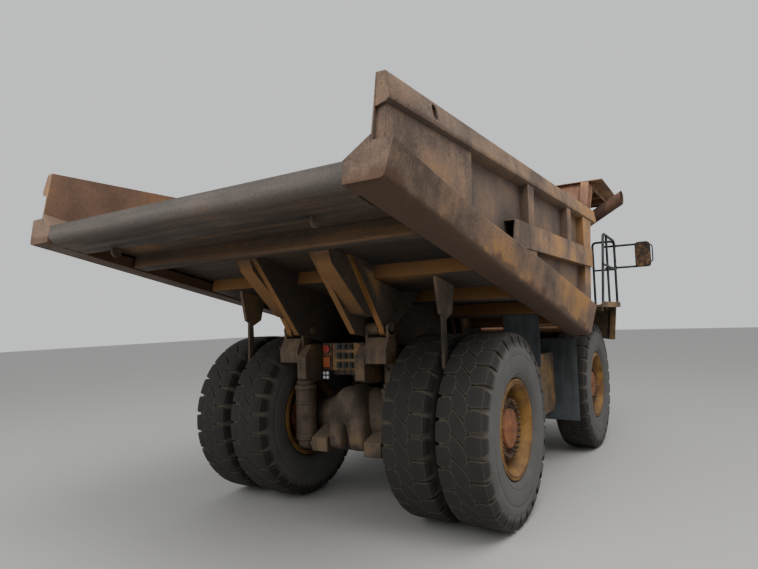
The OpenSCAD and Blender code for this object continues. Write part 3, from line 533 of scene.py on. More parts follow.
bell_middle = 0.94
half_bell = [(0.07, 1.315), (0.13, 1.27), (0.18, 1.2), (0.22, 1.11), (0.25, 1.0), (0.262, 0.85),
             (0.262, 0.72), (0.25, 0.64), (0.12, 0.63)]
bell_edge = ([(-y, z) for y, z in half_bell[-2::-1]] + [(0.0, 1.325)] + half_bell +
             [(0.0, 0.628), (-0.12, 0.63)])
bell_rings = [[(x + rear_axle_x, y * size, bell_middle + (z - bell_middle) * size) for y, z in bell_edge]
              for x, size in ((-0.06, 1.0), (-0.26, 0.995), (-0.33, 0.97), (-0.38, 0.91),
                              (-0.41, 0.82), (-0.425, 0.7), (-0.43, 0.5))]
housing = build("bell", [skin(bell_rings)], casting_skin, sharp=50)
notch = cross([(-0.075, 0.6), (-0.05, 0.78), (-0.018, 0.935), (0.018, 0.935), (0.05, 0.78),
               (0.075, 0.6)], -0.5, -0.3)
carve(housing, build("notch", [notch], casting_skin))
eye = (-0.35, 0.68)
arm_parts = [plate([(-0.43, 0.612), (-0.43, 0.76), (-0.15, 0.9), (-0.1, 0.7), (-0.25, 0.602)], 0.24, 0.455),
             round_bar(eye, 0.454, 0.512, 0.055)]
arm_parts += mirrored(arm_parts)
# The two steps of the drive shaft's flange, and the rim where the bell meets the beam
for back, front, r, sides in ((0.3, 0.47, 0.11, 32), (0.44, 0.48, 0.13, 32), (-0.1, -0.06, 0.3, 48)):
    arm_parts.append(pipe([(back, 0, hub_height), (front, 0, hub_height)], r, sides))
arms = settle(build("arms", arm_parts, casting_skin, soften=0.012))
seat(join("rear_axle_housing", [beam, housing, arms]), "chassis", "cast_steel", "rear_axle")

# Suspension cylinders: a wide lower barrel, a slimmer upper tube, bands, glands and charge valves
strut_x = -0.35
strut_y = 0.585
barrel_r = 0.118
upper_r = 0.09
barrel_top = 1.31
strut_top = 1.63
strut = []
for low, high, r in ((0.72, barrel_top, barrel_r), (barrel_top - 0.01, strut_top, upper_r),
                     (0.75, 0.79, barrel_r + 0.006), (1.12, 1.15, barrel_r + 0.005),
                     (1.28, 1.33, barrel_r + 0.008), (1.33, 1.38, (barrel_r + upper_r) / 2)):
    strut.append(pipe([(strut_x, strut_y, low), (strut_x, strut_y, high)], r, 36))
valve_z = strut_top - 0.1
strut += [pipe([(strut_x - upper_r * 0.9, strut_y, valve_z),
                (strut_x - upper_r * 1.25, strut_y, valve_z)], 0.014),
          round_bar(eye, 0.5123, 0.655, 0.068), round_bar((strut_x, 1.72), 0.53, 0.64, 0.062),
          brick((strut_x - 0.05, 0.54, 1.6), (strut_x + 0.05, 0.63, 1.7))]
seat_pair("rear_suspension", strut, casting_skin, 0.003, "chassis", "cast_steel", "rear_struts")
rounded("front_struts", casting_skin, "cast_steel", 0.004)

# Grille, ladders, handrails and mirrors
# Bent steel tube, bar and folded sheet, welded, sprayed black and bolted to the frame and decks.
# The engine block has the same paint.
# Black with a faint blue sheen painted into its colour, gone brown where hands and boots rub it.
black_enamel_with_painted_sheen = weathered_plate("black enamel on steel", ("#4a3a30", "#2b2a2b", "#23262b", "#2d3238"),
                               "#6f6a62", "#1d1c1c", fresh=0.1, streaked=0.2, dusty=0.3, patch=0.2,
                               grain=0.006, rough=0.5)
for node in ("engine_block", "radiator_grille", "ladders"):
    dress(node, black_enamel_with_painted_sheen)

# Handrails: a slanted rear post and a loop along the right deck, a short loop on each front corner
post_x = 4.79
rail_y = -1.95
rail_r = 0.021
rails = [pipe(curved([(post_x, rail_y, deck_top), (post_x, rail_y, 3.23), (3.85, rail_y, 3.26),
                      (3.56, rail_y, 2.163)], 0.09), rail_r),
         brick((3.52, rail_y - 0.03, deck_top), (3.6, rail_y + 0.03, 2.164)),
         pipe([(post_x, rail_y, 2.75), (3.69, rail_y, 2.775)], 0.018),
         pipe([(4.1, rail_y, deck_top), (4.1, rail_y, 3.253)], 0.019)]
for outer, inner, top, knee in ((1.95, 1.79, 3.23, 2.75), (rail_y, -1.6, 3.23, 2.75),
                                (-1.5, -0.66, 3.09, 2.65)):
    rails += [pipe(curved([(post_x, outer, deck_top), (post_x, outer, top), (post_x, inner, top),
                           (post_x, inner, deck_top)], 0.07), rail_r),
              pipe([(post_x, outer, knee), (post_x, inner, knee)], 0.017)]
seat(build("handrail_tubes", rails, black_enamel_with_painted_sheen), "chassis", "dark_steel", "handrails")

# Mirror arms with their clamps, heads and loop guards
arm_x = 4.827
arm_heights = (2.78, 3.15)
head_inner = 2.265
head_outer = 2.5
head_low = 2.765
head_high = 3.185
head_y = 2.382
head_z = 2.975
arms = []
for height in arm_heights:
    arms.append(pipe([(arm_x, 1.78, height), (arm_x, 2.3, height)], 0.019))
guard = curved([(arm_x, 2.42, 2.84), (arm_x, 2.528, 2.84), (arm_x, 2.528, 3.13), (arm_x, 2.42, 3.13)], 0.05)
arms.append(pipe(guard, 0.0115, 8))
head = curved([(2.38, 0, head_low), (head_outer, 0, head_low), (head_outer, 0, head_high),
               (head_inner, 0, head_high), (head_inner, 0, head_low), (2.38, 0, head_low)], 0.07)[:-1]
arms.append(cross([(point.x, point.z) for point in head], arm_x - 0.03, arm_x + 0.03))
for height in arm_heights:
    arms.append(brick((arm_x - 0.036, 1.93, height - 0.03), (arm_x + 0.02, 1.97, height + 0.03)))
frames = settle(build("mirror frames", arms + mirrored(arms), black_enamel_with_painted_sheen, soften=0.002))
# Rust-brown pressed backs with the ochre left in spots.
back_enamel = weathered_plate("rusted mirror back", ("#1f1813", "#38271c", "#5d3f26", "#a67a35"), "#7d7062",
                              "#2a2119", fresh=-0.04, mottled=1.1, dusty=0.2, patch=0.12, grain=0.01)
shell = cross([(head_y + (point.x - head_y) * 0.93, head_z + (point.z - head_z) * 0.95) for point in head],
              arm_x - 0.042, arm_x - 0.029)
backs = settle(build("mirror backs", [shell] + mirrored([shell]), back_enamel, soften=0.004))
seat(join("mirror_arms", [frames, backs]), "chassis", "dark_steel", "mirrors")

# Wheels
# Each rim is rolled from steel strip into a five-degree barrel with a lock ring, and the disc is
# pressed and welded into it. Nuts on studs clamp it to the hub, and the cover is cast iron.


def ring_tree():
    """Geometry Nodes that repeat a shape round the Y axis."""
    tree = bpy.data.node_groups.new("repeat round an axle", "GeometryNodeTree")
    face = tree.interface
    face.new_socket(name="Shape", in_out="INPUT", socket_type="NodeSocketGeometry")
    face.new_socket(name="How many", in_out="INPUT", socket_type="NodeSocketInt")
    face.new_socket(name="First angle", in_out="INPUT", socket_type="NodeSocketFloat")
    face.new_socket(name="Finish", in_out="INPUT", socket_type="NodeSocketMaterial")
    face.new_socket(name="Shape", in_out="OUTPUT", socket_type="NodeSocketGeometry")
    given = add(tree, "NodeGroupInput")
    made = add(tree, "NodeGroupOutput")
    spots = add(tree, "GeometryNodePoints", {"Count": given.outputs["How many"]})
    number = add(tree, "GeometryNodeInputIndex")
    step = add(tree, "ShaderNodeMath", {0: 2 * math.pi, 1: given.outputs["How many"]}, operation="DIVIDE")
    angle = add(tree, "ShaderNodeMath", {0: number.outputs[0], 1: step.outputs[0],
                2: given.outputs["First angle"]}, operation="MULTIPLY_ADD")
    turn = add(tree, "ShaderNodeCombineXYZ", {"Y": angle.outputs[0]})
    copies = add(tree, "GeometryNodeInstanceOnPoints", {"Points": spots.outputs[0],
                 "Instance": given.outputs["Shape"], "Rotation": turn.outputs[0]})
    real = add(tree, "GeometryNodeRealizeInstances", {"Geometry": copies.outputs[0]})
    painted = add(tree, "GeometryNodeSetMaterial", {"Geometry": real.outputs[0],
                  "Material": given.outputs["Finish"]})
    tree.links.new(painted.outputs[0], made.inputs[0])
    return tree


around = ring_tree()


def set_inputs(piece, tree, values):
    """Adds a Geometry Nodes modifier and sets its inputs by the sockets' identifiers."""
    work = piece.modifiers.new(tree.name, "NODES")
    work.node_group = tree
    for socket in tree.interface.items_tree:
        if socket.in_out == "INPUT" and socket.name in values:
            work[socket.identifier] = values[socket.name]
    return work


# Ochre enamel, yellower in the sheltered barrel, that rust has stained brown towards the flange.
rim_enamel = weathered_plate("rusting enamel on rolled rim steel",
                             ("#4c3320", "#735028", "#98702f", "#b58a3c"), "#8b7a66", "#4a3a28",
                             mottled=0.6, streaked=0.15, dusty=0.25, under=0.2, patch=0.2, grain=0.008)
# Orange-brown rust film on iron that the brakes keep warm.
hub_iron = weathered_plate("rusty cast-iron hub", ("#40281c", "#6a4028", "#8a5530", "#9c6a3a"),
                           "#86705a", "#3a281e", mottled=0.6, streaked=0.1, dusty=0.2, under=0.2,
                           patch=0.12, grain=0.006, rough=0.75)
# Nearly black forged nuts with brown in the corners.
nut_steel = weathered_plate("rusted forged nuts", ("#3a2c22", "#5c4634", "#80644a", "#9a7c58"),
                            "#7c6a58", "#2a211b", mottled=0.6, streaked=0.1, dusty=0.25, under=0.2,
                            patch=0.06, grain=0.004, rough=0.7)
flange_r = 0.4825
bead_r = 0.419
barrel_half = 0.217
round_steps = 112


def barrel(y, out):
    """Rim strip about the tyre's middle y; out is 1 where its lock ring faces left, else -1."""
    side = [(bead_r - 0.024, -barrel_half), (0.47, -barrel_half), (0.4795, -0.211),
            (flange_r, -0.2), (0.481, -0.183), (0.468, -0.167), (0.44, -0.163), (0.422, -0.155),
            (bead_r, -0.12), (0.412, -0.03), (0.412, 0.03), (bead_r, 0.12), (0.422, 0.155),
            (0.44, 0.163), (0.466, 0.167), (0.4805, 0.18), (flange_r, 0.197), (0.4795, 0.208),
            (0.471, 0.2135), (0.461, 0.214), (0.4585, 0.2085), (0.4515, 0.2085), (0.449, 0.214),
            (0.442, 0.2165), (0.434, 0.212), (0.424, 0.19), (0.412, 0.17), (0.401, 0.15),
            (0.395, 0.1), (0.393, 0.0), (0.395, -0.17)]
    return turned([(r, y + out * across) for r, across in side], round_steps)


def hub_face(face, out, back, bore, hub_r, pocket):
    """Disc with its nut ring and round cover; face is the nut ring's sideways position."""
    cover = [(0.0, 0.046), (0.03, 0.046), (0.05, 0.038), (0.12, 0.034), (0.15, 0.03), (0.172, 0.034),
             (0.185, 0.03), (0.193, 0.012), (0.2, -0.012), (0.236, -0.014), (0.242, -0.004),
             (0.294, -0.004), (0.299, -0.012), (0.302, -0.03)]
    well = [(0.309, pocket - 0.015), (0.318, pocket), (0.38, pocket + 0.015), (0.3965, pocket + 0.005),
            (0.3965, pocket + 0.05), (0.34, pocket + 0.048), (hub_r, pocket + 0.048)]
    side = [(r, face + out * y) for r, y in cover] + [(r, face - out * deep) for r, deep in well]
    side += [(hub_r, back + out * 0.02), (hub_r - 0.02, back), (bore, back), (0.0, back)]
    return disc(side, round_steps)


def nut(radius, y, out, across, high):
    """Hexagon nut with its stud's end and washer, on the hub's face at the top of the circle."""
    points = []
    faces = []
    corner_r = across / 2 / math.cos(math.pi / 6)
    washer = 0.006
    for r, low, top, sides in ((across * 0.72, 0.0, washer, 16), (corner_r, washer, high, 6),
                               (across * 0.3, high, high * 1.35, 10)):
        start = len(points)
        for level in (low, top):
            points += [(r * math.cos(2 * math.pi * k / sides), y + out * level,
                        radius + r * math.sin(2 * math.pi * k / sides)) for k in range(sides)]
        faces.append(tuple(start + k for k in range(sides)))
        faces.append(tuple(start + sides + k for k in range(sides)))
        faces += [(start + k, start + (k + 1) % sides, start + sides + (k + 1) % sides, start + sides + k)
                  for k in range(sides)]
    return points, faces


def wheel_nuts(face, out):
    """The circle of nuts that clamps the disc, and the circle of bolts that holds the cover."""
    circles = []
    for radius, deep, how_many, across, high in ((0.27, 0.004, 28, 0.036, 0.032),
                                                 (0.218, 0.014, 24, 0.026, 0.022)):
        one = build("nut", [nut(radius, face - out * deep, out, across, high)], nut_steel, soften=0.0015)
        set_inputs(one, around, {"How many": how_many, "First angle": 0.0, "Finish": nut_steel})
        circles.append(settle(one))
    return circles


def wheel(name, parts, centre, node):
    """Joins a wheel's parts and puts them at its axle."""
    made = join(name, parts)
    made.data.transform(Matrix.Translation(centre))
    return seat(made, node_body[node], "rim_paint", node)


def middle_of(node):
    """Middle of a CAD node's box."""
    low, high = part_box(node)
    return (low + high) / 2


face_in = 0.1
twin_y = 0.28
twin_middle = 1.268
for side, out in (("left", 1), ("right", -1)):
    face = out * (barrel_half - face_in)
    rim = build("rim", [barrel(0.0, out)], rim_enamel)
    hub = build("hub", [hub_face(face, out, out * -0.17, 0.09, 0.23, 0.06)], hub_iron)
    wheel("front_wheel_" + side, [rim, hub] + wheel_nuts(face, out), middle_of("front_tyre_" + side),
          "front_rim_" + side)
    # The twin rims with the spacer band between them, and the brake drum's edge behind
    centre = middle_of("rear_rim_" + side)
    centre.y = out * twin_middle
    face = out * (twin_y + barrel_half - face_in)
    rims = build("rims", [barrel(out * twin_y, out), barrel(out * -twin_y, -out),
                          turned([(0.394, out * -0.1), (0.418, out * -0.1), (0.418, out * 0.1),
                                  (0.394, out * 0.1)], round_steps)], rim_enamel)
    drum = build("drum", [turned([(0.28, out * -0.295), (0.396, out * -0.295), (0.396, out * -0.265),
                                  (0.28, out * -0.265)], round_steps)], rim_enamel)
    hub = build("hub", [hub_face(face, out, out * -0.43, 0.15, 0.29, 0.12)], hub_iron)
    wheel("rear_wheels_" + side, [rims, drum, hub] + wheel_nuts(face, out), centre, "rear_rim_" + side)

# Tyres
# Radial earthmover tyres: rubber over steel cord, cured in a mould that leaves 28 shoulder lugs a
# side and a zigzag row between them. The tread is worn brown and the grooves are full of dust.
lug_count = 28
lug_pitch = 2 * math.pi / lug_count


def tyre_rubber():
    """Black rubber gone brown, dusty in its grooves and along its edges, grey on the sidewall."""
    finish, tree, out = new_finish("worn tyre rubber")
    spot = add(tree, "ShaderNodeTexCoord").outputs["Object"]
    rubbed = add(tree, "ShaderNodeAttribute", attribute_name="rubbed")
    side = add(tree, "ShaderNodeAttribute", attribute_name="sidewall")
    patches = add(tree, "ShaderNodeTexNoise", {"Vector": spot, "Scale": 1 / 0.25, "Detail": 6.0,
                  "Roughness": 0.6}).outputs["Fac"]
    grain = add(tree, "ShaderNodeTexNoise", {"Vector": spot, "Scale": 1 / 0.007,
                "Detail": 4.0}).outputs["Fac"]
    round_edge = add(tree, "ShaderNodeBevel", {"Radius": 0.013}, samples=6)
    flat = add(tree, "ShaderNodeNewGeometry")
    close = add(tree, "ShaderNodeVectorMath", {0: round_edge.outputs[0], 1: flat.outputs["Normal"]},
                operation="DOT_PRODUCT")
    rim_dust = add(tree, "ShaderNodeMapRange", {"Value": close.outputs["Value"], "From Min": 0.995,
                   "From Max": 0.93, "To Min": 0.0, "To Max": 0.75})
    kept = add(tree, "ShaderNodeMath", {0: rubbed.outputs["Fac"], 1: rim_dust.outputs[0]},
               operation="SUBTRACT", use_clamp=True)
    tread, groove, wall = [
        add(tree, "ShaderNodeMix", {0: noise, 6: linear(dark), 7: linear(pale)},
            data_type="RGBA").outputs[2]
        for noise, dark, pale in ((patches, "#1d1c1a", "#302c27"), (grain, "#4f483e", "#6f675b"),
                                  (patches, "#454442", "#65635f"))]
    laid = add(tree, "ShaderNodeMix", {0: kept.outputs[0], 6: groove, 7: tread}, data_type="RGBA")
    shown = add(tree, "ShaderNodeMix", {0: side.outputs["Fac"], 6: laid.outputs[2], 7: wall},
                data_type="RGBA")
    relief = add(tree, "ShaderNodeBump", {"Strength": 0.4, "Distance": 0.003, "Height": grain})
    shader = add(tree, "ShaderNodeBsdfPrincipled", {"Base Color": shown.outputs[2], "Roughness": 0.86,
                 "IOR": 1.5, "Normal": relief.outputs["Normal"]})
    tree.links.new(shader.outputs[0], out.inputs[0])
    return finish


rubber = tyre_rubber()


def tread_block(rows):
    """Closed block from rows of (sideways, radius, low share, high share, base sideways, base radius)."""
    steps = 4
    points = []
    faces = []
    for y, r, low, high, base_y, base_r in rows:
        for k in range(steps + 1):
            a = (low + (high - low) * k / steps) * lug_pitch
            points.append((r * math.sin(a), y, r * math.cos(a)))
    base = len(points)
    for y, r, low, high, base_y, base_r in rows:
        for k in range(steps + 1):
            spread = 0.012 if high - low > 0.3 else 0.03
            a = (low - spread + (high - low + 2 * spread) * k / steps) * lug_pitch
            points.append((base_r * math.sin(a), base_y, base_r * math.cos(a)))
    wide = steps + 1
    last = len(rows) - 1
    for j in range(last):
        for k in range(steps):
            a = j * wide + k
            faces.append((a, a + 1, a + wide + 1, a + wide))
            faces.append((base + a, base + a + wide, base + a + wide + 1, base + a + 1))
        for k in (0, steps):
            a = j * wide + k
            faces.append((a, a + wide, base + a + wide, base + a))
    for j in (0, last):
        for k in range(steps):
            a = j * wide + k
            faces.append((a, a + 1, base + a + 1, base + a))
    return points, faces


def shoulder(out, shift):
    """One shoulder lug with its blunt inner point, from the middle row down onto the sidewall."""
    rows = [(0.06, 0.9365, 0.11, 0.052, 0.912), (0.068, 0.9365, 0.26, 0.062, 0.91),
            (0.088, 0.9365, 0.4, 0.084, 0.908), (0.108, 0.9365, 0.452, 0.105, 0.906),
            (0.15, 0.936, 0.44, 0.15, 0.904), (0.186, 0.933, 0.42, 0.176, 0.9),
            (0.212, 0.921, 0.395, 0.186, 0.893), (0.2285, 0.892, 0.37, 0.2, 0.876),
            (0.2385, 0.856, 0.345, 0.216, 0.846), (0.244, 0.82, 0.31, 0.2325, 0.813),
            (0.2435, 0.8, 0.26, 0.236, 0.8)]
    return tread_block([(out * y, r, shift - half, shift + half, out * base_y, base_r)
                        for y, r, half, base_y, base_r in rows])


def zigzag():
    """One block of the middle row: a leaning hexagon that fills the space between four lugs."""
    rows = [(-0.088, -0.04, 0.04), (-0.048, -0.44, 0.475), (0.048, 0.025, 0.94), (0.088, 0.46, 0.54)]
    return tread_block([(y, 0.9367, low, high, y * 1.04, 0.9105) for y, low, high in rows])


def mark(piece, worn_tread):
    """Writes how rubbed each point is, and how far it belongs to the sidewall."""
    rubbed = []
    sidewall = []
    for vertex in piece.data.vertices:
        r = math.hypot(vertex.co.x, vertex.co.z)
        worn = worn_tread and (r > 0.925 or (r > 0.8 and abs(vertex.co.y) > 0.2))
        rubbed.append(1.0 if worn else 0.0)
        sidewall.append(max(0.0, min(1.0, (0.845 - r) / 0.04)))
    for name, values in (("rubbed", rubbed), ("sidewall", sidewall)):
        piece.data.attributes.new(name, "FLOAT", "POINT").data.foreach_set("value", values)


lug = build("lugs", [shoulder(1, 0.0), shoulder(-1, 0.5), zigzag()], rubber, soften=0.004)
mark(lug, worn_tread=True)
set_inputs(lug, around, {"How many": lug_count, "First angle": 0.0, "Finish": rubber})
settle(lug)
half_carcass = [(0.4205, 0.1635), (0.4835, 0.1635), (0.491, 0.192), (0.5, 0.212), (0.516, 0.223),
                (0.534, 0.229), (0.541, 0.2355), (0.552, 0.2375), (0.558, 0.2345), (0.566, 0.2385),
                (0.6, 0.245), (0.64, 0.2482), (0.68, 0.2488), (0.704, 0.2478), (0.709, 0.2448),
                (0.717, 0.2446), (0.722, 0.2472), (0.75, 0.2462), (0.785, 0.2405), (0.82, 0.2285),
                (0.85, 0.214), (0.876, 0.198), (0.895, 0.182), (0.904, 0.16), (0.908, 0.12), (0.9115, 0.06)]
whole = half_carcass + [(0.9125, 0.0)] + [(r, -y) for r, y in reversed(half_carcass)]
carcass = build("carcass", [turned(whole, round_steps)], rubber)
mark(carcass, worn_tread=False)
tyre_shape = join("tyre shape", [carcass, lug])

# Each tyre stands a little turned against the next.
for number, node in enumerate(sorted(node for node in node_body if "_tyre_" in node)):
    mesh = tyre_shape.data.copy()
    mesh.transform(Matrix.Translation(middle_of(node)) @ Matrix.Rotation(number * 0.31 * lug_pitch, 4, "Y"))
    seat(stand(node.replace("tyre", "treaded_tyre"), mesh), node_body[node], "tyre_rubber", node)
bpy.data.objects.remove(tyre_shape)

# Cab
# Folded and spot-welded steel sheet with a hinged door, sprayed in satin enamel, with bonded safety
# glass and grained black plastic trim inside.
# The freshest paint on the truck: satin ochre, dusty below the windows.
cab_enamel = weathered_plate("satin enamel on cab sheet", ("#4f3a28", "#84663a", "#ab8040", "#c0934a"),
                             "#938876", "#4a4034", fresh=0.08, mottled=0.6, streaked=0.25, dusty=0.35,
                             patch=0.35, grain=0.01, rough=0.48)
for node in ("cab_shell", "cab_door"):
    dress(node, cab_enamel)


def safety_glass():
    """Clear tempered glass under a thin film of dust, thicker where it was smeared."""
    finish, tree, out = new_finish("dusty safety glass")
    spot = add(tree, "ShaderNodeTexCoord").outputs["Object"]
    smear = add(tree, "ShaderNodeTexNoise", {"Vector": spot, "Scale": 1 / 0.12, "Detail": 5.0})
    film = add(tree, "ShaderNodeMapRange", {"Value": smear.outputs["Fac"], "From Min": 0.4,
               "From Max": 0.8, "To Min": 0.02, "To Max": 0.12})
    shader = add(tree, "ShaderNodeBsdfPrincipled", {"Base Color": linear("#d5dedd"),
                 "Roughness": film.outputs[0], "IOR": 1.5, "Transmission Weight": 0.92})
    tree.links.new(shader.outputs[0], out.inputs[0])
    return finish


glass = safety_glass()
for node in ("cab_glass", "door_glass"):
    dress(node, glass)
# Matt charcoal plastic and cloth with a film of pale dust.
trim = weathered_plate("grained black plastic", ("#26262a", "#2b2c2e", "#333436", "#3b3b3c"),
                       "#5c5850", "#222224", mottled=0.5, streaked=0.1, dusty=0.3, patch=0.2,
                       grain=0.004, rough=0.6)
for node in ("cab_seat", "cab_console"):
    dress(node, trim)

# Exhaust, lamps and flaps
# The exhaust is rolled steel tube, burnt brown by its own heat; the flaps are cut from fabric
# belting; the lamps have moulded lenses in steel housings.
# Purple-brown scale, darker towards the mouth.
burnt_tube = weathered_plate("heat-burnt exhaust tube", ("#33241d", "#503629", "#6a4838", "#7c5a48"),
                             "#7d6c5e", "#2c211b", mottled=0.7, streaked=0.3, dusty=0.2, patch=0.25,
                             grain=0.006, rough=0.7)
stack_x = 3.9
stack_y = -1.35
bend = Vector((stack_x, stack_y, 3.265))
mouth = Vector((stack_x, -2.25, 3.79))
axis = (mouth - bend).normalized()
route = curved([(stack_x, stack_y, deck_top), bend, mouth], 0.22, 9)
slant = Vector((-0.1, -1.0, 0.03)).normalized()
tube_r = 0.096
wall_thick = 0.008


def slanted(ring):
    """The mouth's ring, moved along the tube onto the slanting cut."""
    end = mouth + Vector((rear_axle_x, 0, 0))
    return [tuple(Vector(p) - axis * (Vector(p) - end).dot(slant) / axis.dot(slant)) for p in ring]


tube_rings = rings_along(route, tube_r, 32)
bore_rings = rings_along(route, tube_r - wall_thick, 32)
stack = skin(tube_rings[:-1] + [slanted(tube_rings[-1]), slanted(bore_rings[-1])] +
             [[tuple(Vector(p) - axis * deep) for p in bore_rings[-1]] for deep in (0.12, 0.45)])
# The collar above the bend, the foot and the clamp
bands = [pipe([bend + axis * 0.2, bend + axis * 0.24], 0.1, 32)]
for low, high, r in ((deck_top, 2.175, 0.13), (2.9, 2.93, 0.101)):
    bands.append(pipe([(stack_x, stack_y, low), (stack_x, stack_y, high)], r, 32))
seat(settle(build("exhaust_stack", [stack] + bands, burnt_tube, soften=0.002)), "chassis",
     "exhaust_steel", "exhaust_pipe")
# Slate grey belting, paler where mud has dried on it in runs.
belting = weathered_plate("faded rubber belting", ("#34383a", "#3f4447", "#494f52", "#555a5b"),
                          "#7a766e", "#2c2d2d", mottled=0.7, streaked=0.6, dusty=0.4, patch=0.3,
                          grain=0.004, rough=0.8)
for node in ("mud_flaps", "body_flaps"):
    dress(node, belting)


def lens(name, colour, glow):
    """Moulded plastic lens with fine ribs, and dust in them."""
    finish, tree, out = new_finish(name)
    spot = add(tree, "ShaderNodeTexCoord").outputs["Object"]
    ribs = add(tree, "ShaderNodeTexNoise", {"Vector": spot, "Scale": 1 / 0.004, "Detail": 2.0})
    film = add(tree, "ShaderNodeTexNoise", {"Vector": spot, "Scale": 1 / 0.05, "Detail": 4.0})
    share = add(tree, "ShaderNodeMapRange", {"Value": film.outputs["Fac"], "From Min": 0.35, "From Max": 0.75,
                "To Min": 0.05, "To Max": 0.55})
    shown = add(tree, "ShaderNodeMix", {0: share.outputs[0], 6: linear(colour), 7: linear("#7d7061")},
                data_type="RGBA")
    relief = add(tree, "ShaderNodeBump", {"Strength": 0.3, "Distance": 0.001, "Height": ribs.outputs["Fac"]})
    shader = add(tree, "ShaderNodeBsdfPrincipled", {"Base Color": shown.outputs[2], "Roughness": 0.28,
                 "IOR": 1.5, "Coat Weight": glow, "Normal": relief.outputs["Normal"]})
    tree.links.new(shader.outputs[0], out.inputs[0])
    return finish


# Deep red plastic, brightest where the dust is thin.
red_lens = lens("red lamp lens", "#a3161a", 0.6)
# Amber plastic gone brown with age.
amber_lens = lens("amber lamp lens", "#b0511a", 0.4)
# Clear polycarbonate over small mirrors, cold white.
clear_lens = lens("clear lamp lens", "#dfe6ea", 0.9)

# Tail lamps: a round red one over an amber one on each half of their plate, and white ones below
lamp_y = 0.235
red_z = 1.735
white_z = 1.45
backing = [brick((-0.37, -0.31, 1.5), (-0.3403, 0.31, 1.8))]
housings = []
reds = []
ambers = []
whites = []
for y in (-lamp_y, lamp_y):
    backing += [brick((-0.386, y - 0.06, 1.515), (-0.369, y + 0.06, 1.79)),
                pipe([(-0.386, y, red_z), (-0.4, y, red_z)], 0.05, 28)]
    housings += [brick((-0.42, y - 0.05, 1.402), (-0.36, y + 0.05, 1.4997)),
                 brick((-0.4, y - 0.052, 1.53), (-0.385, y + 0.052, 1.655))]
    reds.append(pipe([(-0.399, y, red_z), (-0.412, y, red_z)], 0.044, 28))
    ambers.append(brick((-0.408, y - 0.046, 1.536), (-0.399, y + 0.046, 1.649)))
    for across in (y - 0.023, y + 0.023):
        for z in (white_z - 0.023, white_z + 0.023):
            whites.append(pipe([(-0.4195, across, z), (-0.425, across, z)], 0.018, 16))
# Three columns of plugs between the lamps, with a cable from each
for y in (-0.08, 0.0, 0.08):
    for z in (1.56, 1.66, 1.76):
        housings += [brick((-0.392, y - 0.026, z - 0.032), (-0.369, y + 0.026, z + 0.032)),
                     pipe([(-0.392, y, z), (-0.408, y, z)], 0.017, 14)]
    cable = curved([(-0.4, y, 1.52), (-0.4, y, 1.47), (-0.36, y * 1.5, 1.44), (-0.3, y * 2, 1.47)], 0.03)
    housings.append(pipe(cable, 0.008, 8))
lamp_parts = [settle(build("lamp plate", backing, frame_enamel, soften=0.003))]
for parts, finish in ((housings, black_enamel_with_painted_sheen), (reds, red_lens), (ambers, amber_lens), (whites, clear_lens)):
    lamp_parts.append(settle(build("lamp part", parts, finish, soften=0.002)))
seat(join("tail_lamps", lamp_parts), "chassis", "frame_paint", "rear_lamps")

# Head lamps: steel cans on their brackets, with a domed lens and a bright bezel each
rounded("head_lamps", black_enamel_with_painted_sheen, "lamp_lens", 0.003)
head_lamp_z = 1.235
domes = []
bezels = []
turns = [k / 18 * math.pi for k in range(36)]
for y in (-0.9, -0.7, 0.7, 0.9):
    for parts, steps in ((domes, ((5.336, 0.064), (5.344, 0.064), (5.351, 0.055), (5.357, 0.034),
                                  (5.359, 0.01))),
                         (bezels, ((5.334, 0.075), (5.348, 0.075), (5.351, 0.07), (5.351, 0.0645),
                                   (5.337, 0.0645)))):
        parts.append(skin([[(x + rear_axle_x, y + r * math.cos(a), head_lamp_z + r * math.sin(a))
                            for a in turns] for x, r in steps]))
seat(join("head_lamp_glasses", [build("domes", domes, clear_lens, sharp=60),
                                build("bezels", bezels, nut_steel)]), "chassis", "lamp_lens")

# Dump body
# Wear-resistant steel plate, welded into a V floor with box rails round it. Rock has scoured the
# paint off inside, and rain has run the rest down the walls in brown and yellow streaks.
tail_x = -2.665
tail_z = 2.85
floor_tilt = math.radians(12.13)
floor_long = 5.376
body_y = 1.848
wall_y = 1.86
wall_top = 3.551
tail_top = -2.521
front_foot = (2.591, 1.7203)
front_tilt = math.tan(math.radians(23.5))
lower_edge = tail_z * math.cos(floor_tilt) + (tail_x + rear_axle_x) * math.sin(floor_tilt)
# Mud reaches 0.055 above the lower edge; the wave that breaks its outline takes off 0.15.
mud_reach = lower_edge + 0.055 - 0.15
# Smooth grey-brown rust with orange blooms and soft runs, ochre towards the front, redder on the
# scoured inside, with a wavy dark band of thrown mud along the lower edge. The recessed outer panels
# between the rails are darkened with painted shade, partly as dirt.
body_plate = weathered_plate("weathered dump-body plate", ("#54443a", "#735d4d", "#8c6b4e", "#b27f42"),
                             "#8d8070", "#3d3025", fresh=-0.03, mottled=1.0, streaked=0.22, dusty=0.25,
                             under=0.72, patch=0.42, grain=0.016, dents=0.5, scoured="#5c3f2d",
                             forward=0.2, mud=(floor_tilt, mud_reach))
# Dark underside with yellow-orange bands across it, where mud has fallen off the old paint. What hangs low is
# darkened further with painted shade.
floor_plate = weathered_plate("grimy dump-body floor", ("#2f2620", "#48392e", "#63503f", "#a06c29"),
                              "#7d7062", "#332922", fresh=-0.03, mottled=0.5, streaked=0.7, dusty=0.3,
                              under=0.5, patch=0.6, grain=0.02, dents=0.5, run="Y", hanging=True)
# Rust that rain has turned red-brown on the canopy, with the old ochre still showing.
canopy_plate = weathered_plate("rusty canopy plate", ("#5a3b2b", "#7b5440", "#96694a", "#b08348"),
                               "#8b7d6b", "#4a382b", fresh=0.05, mottled=0.9, streaked=0.3, dusty=0.3,
                               under=0.4, patch=0.45, grain=0.02, dents=0.5)


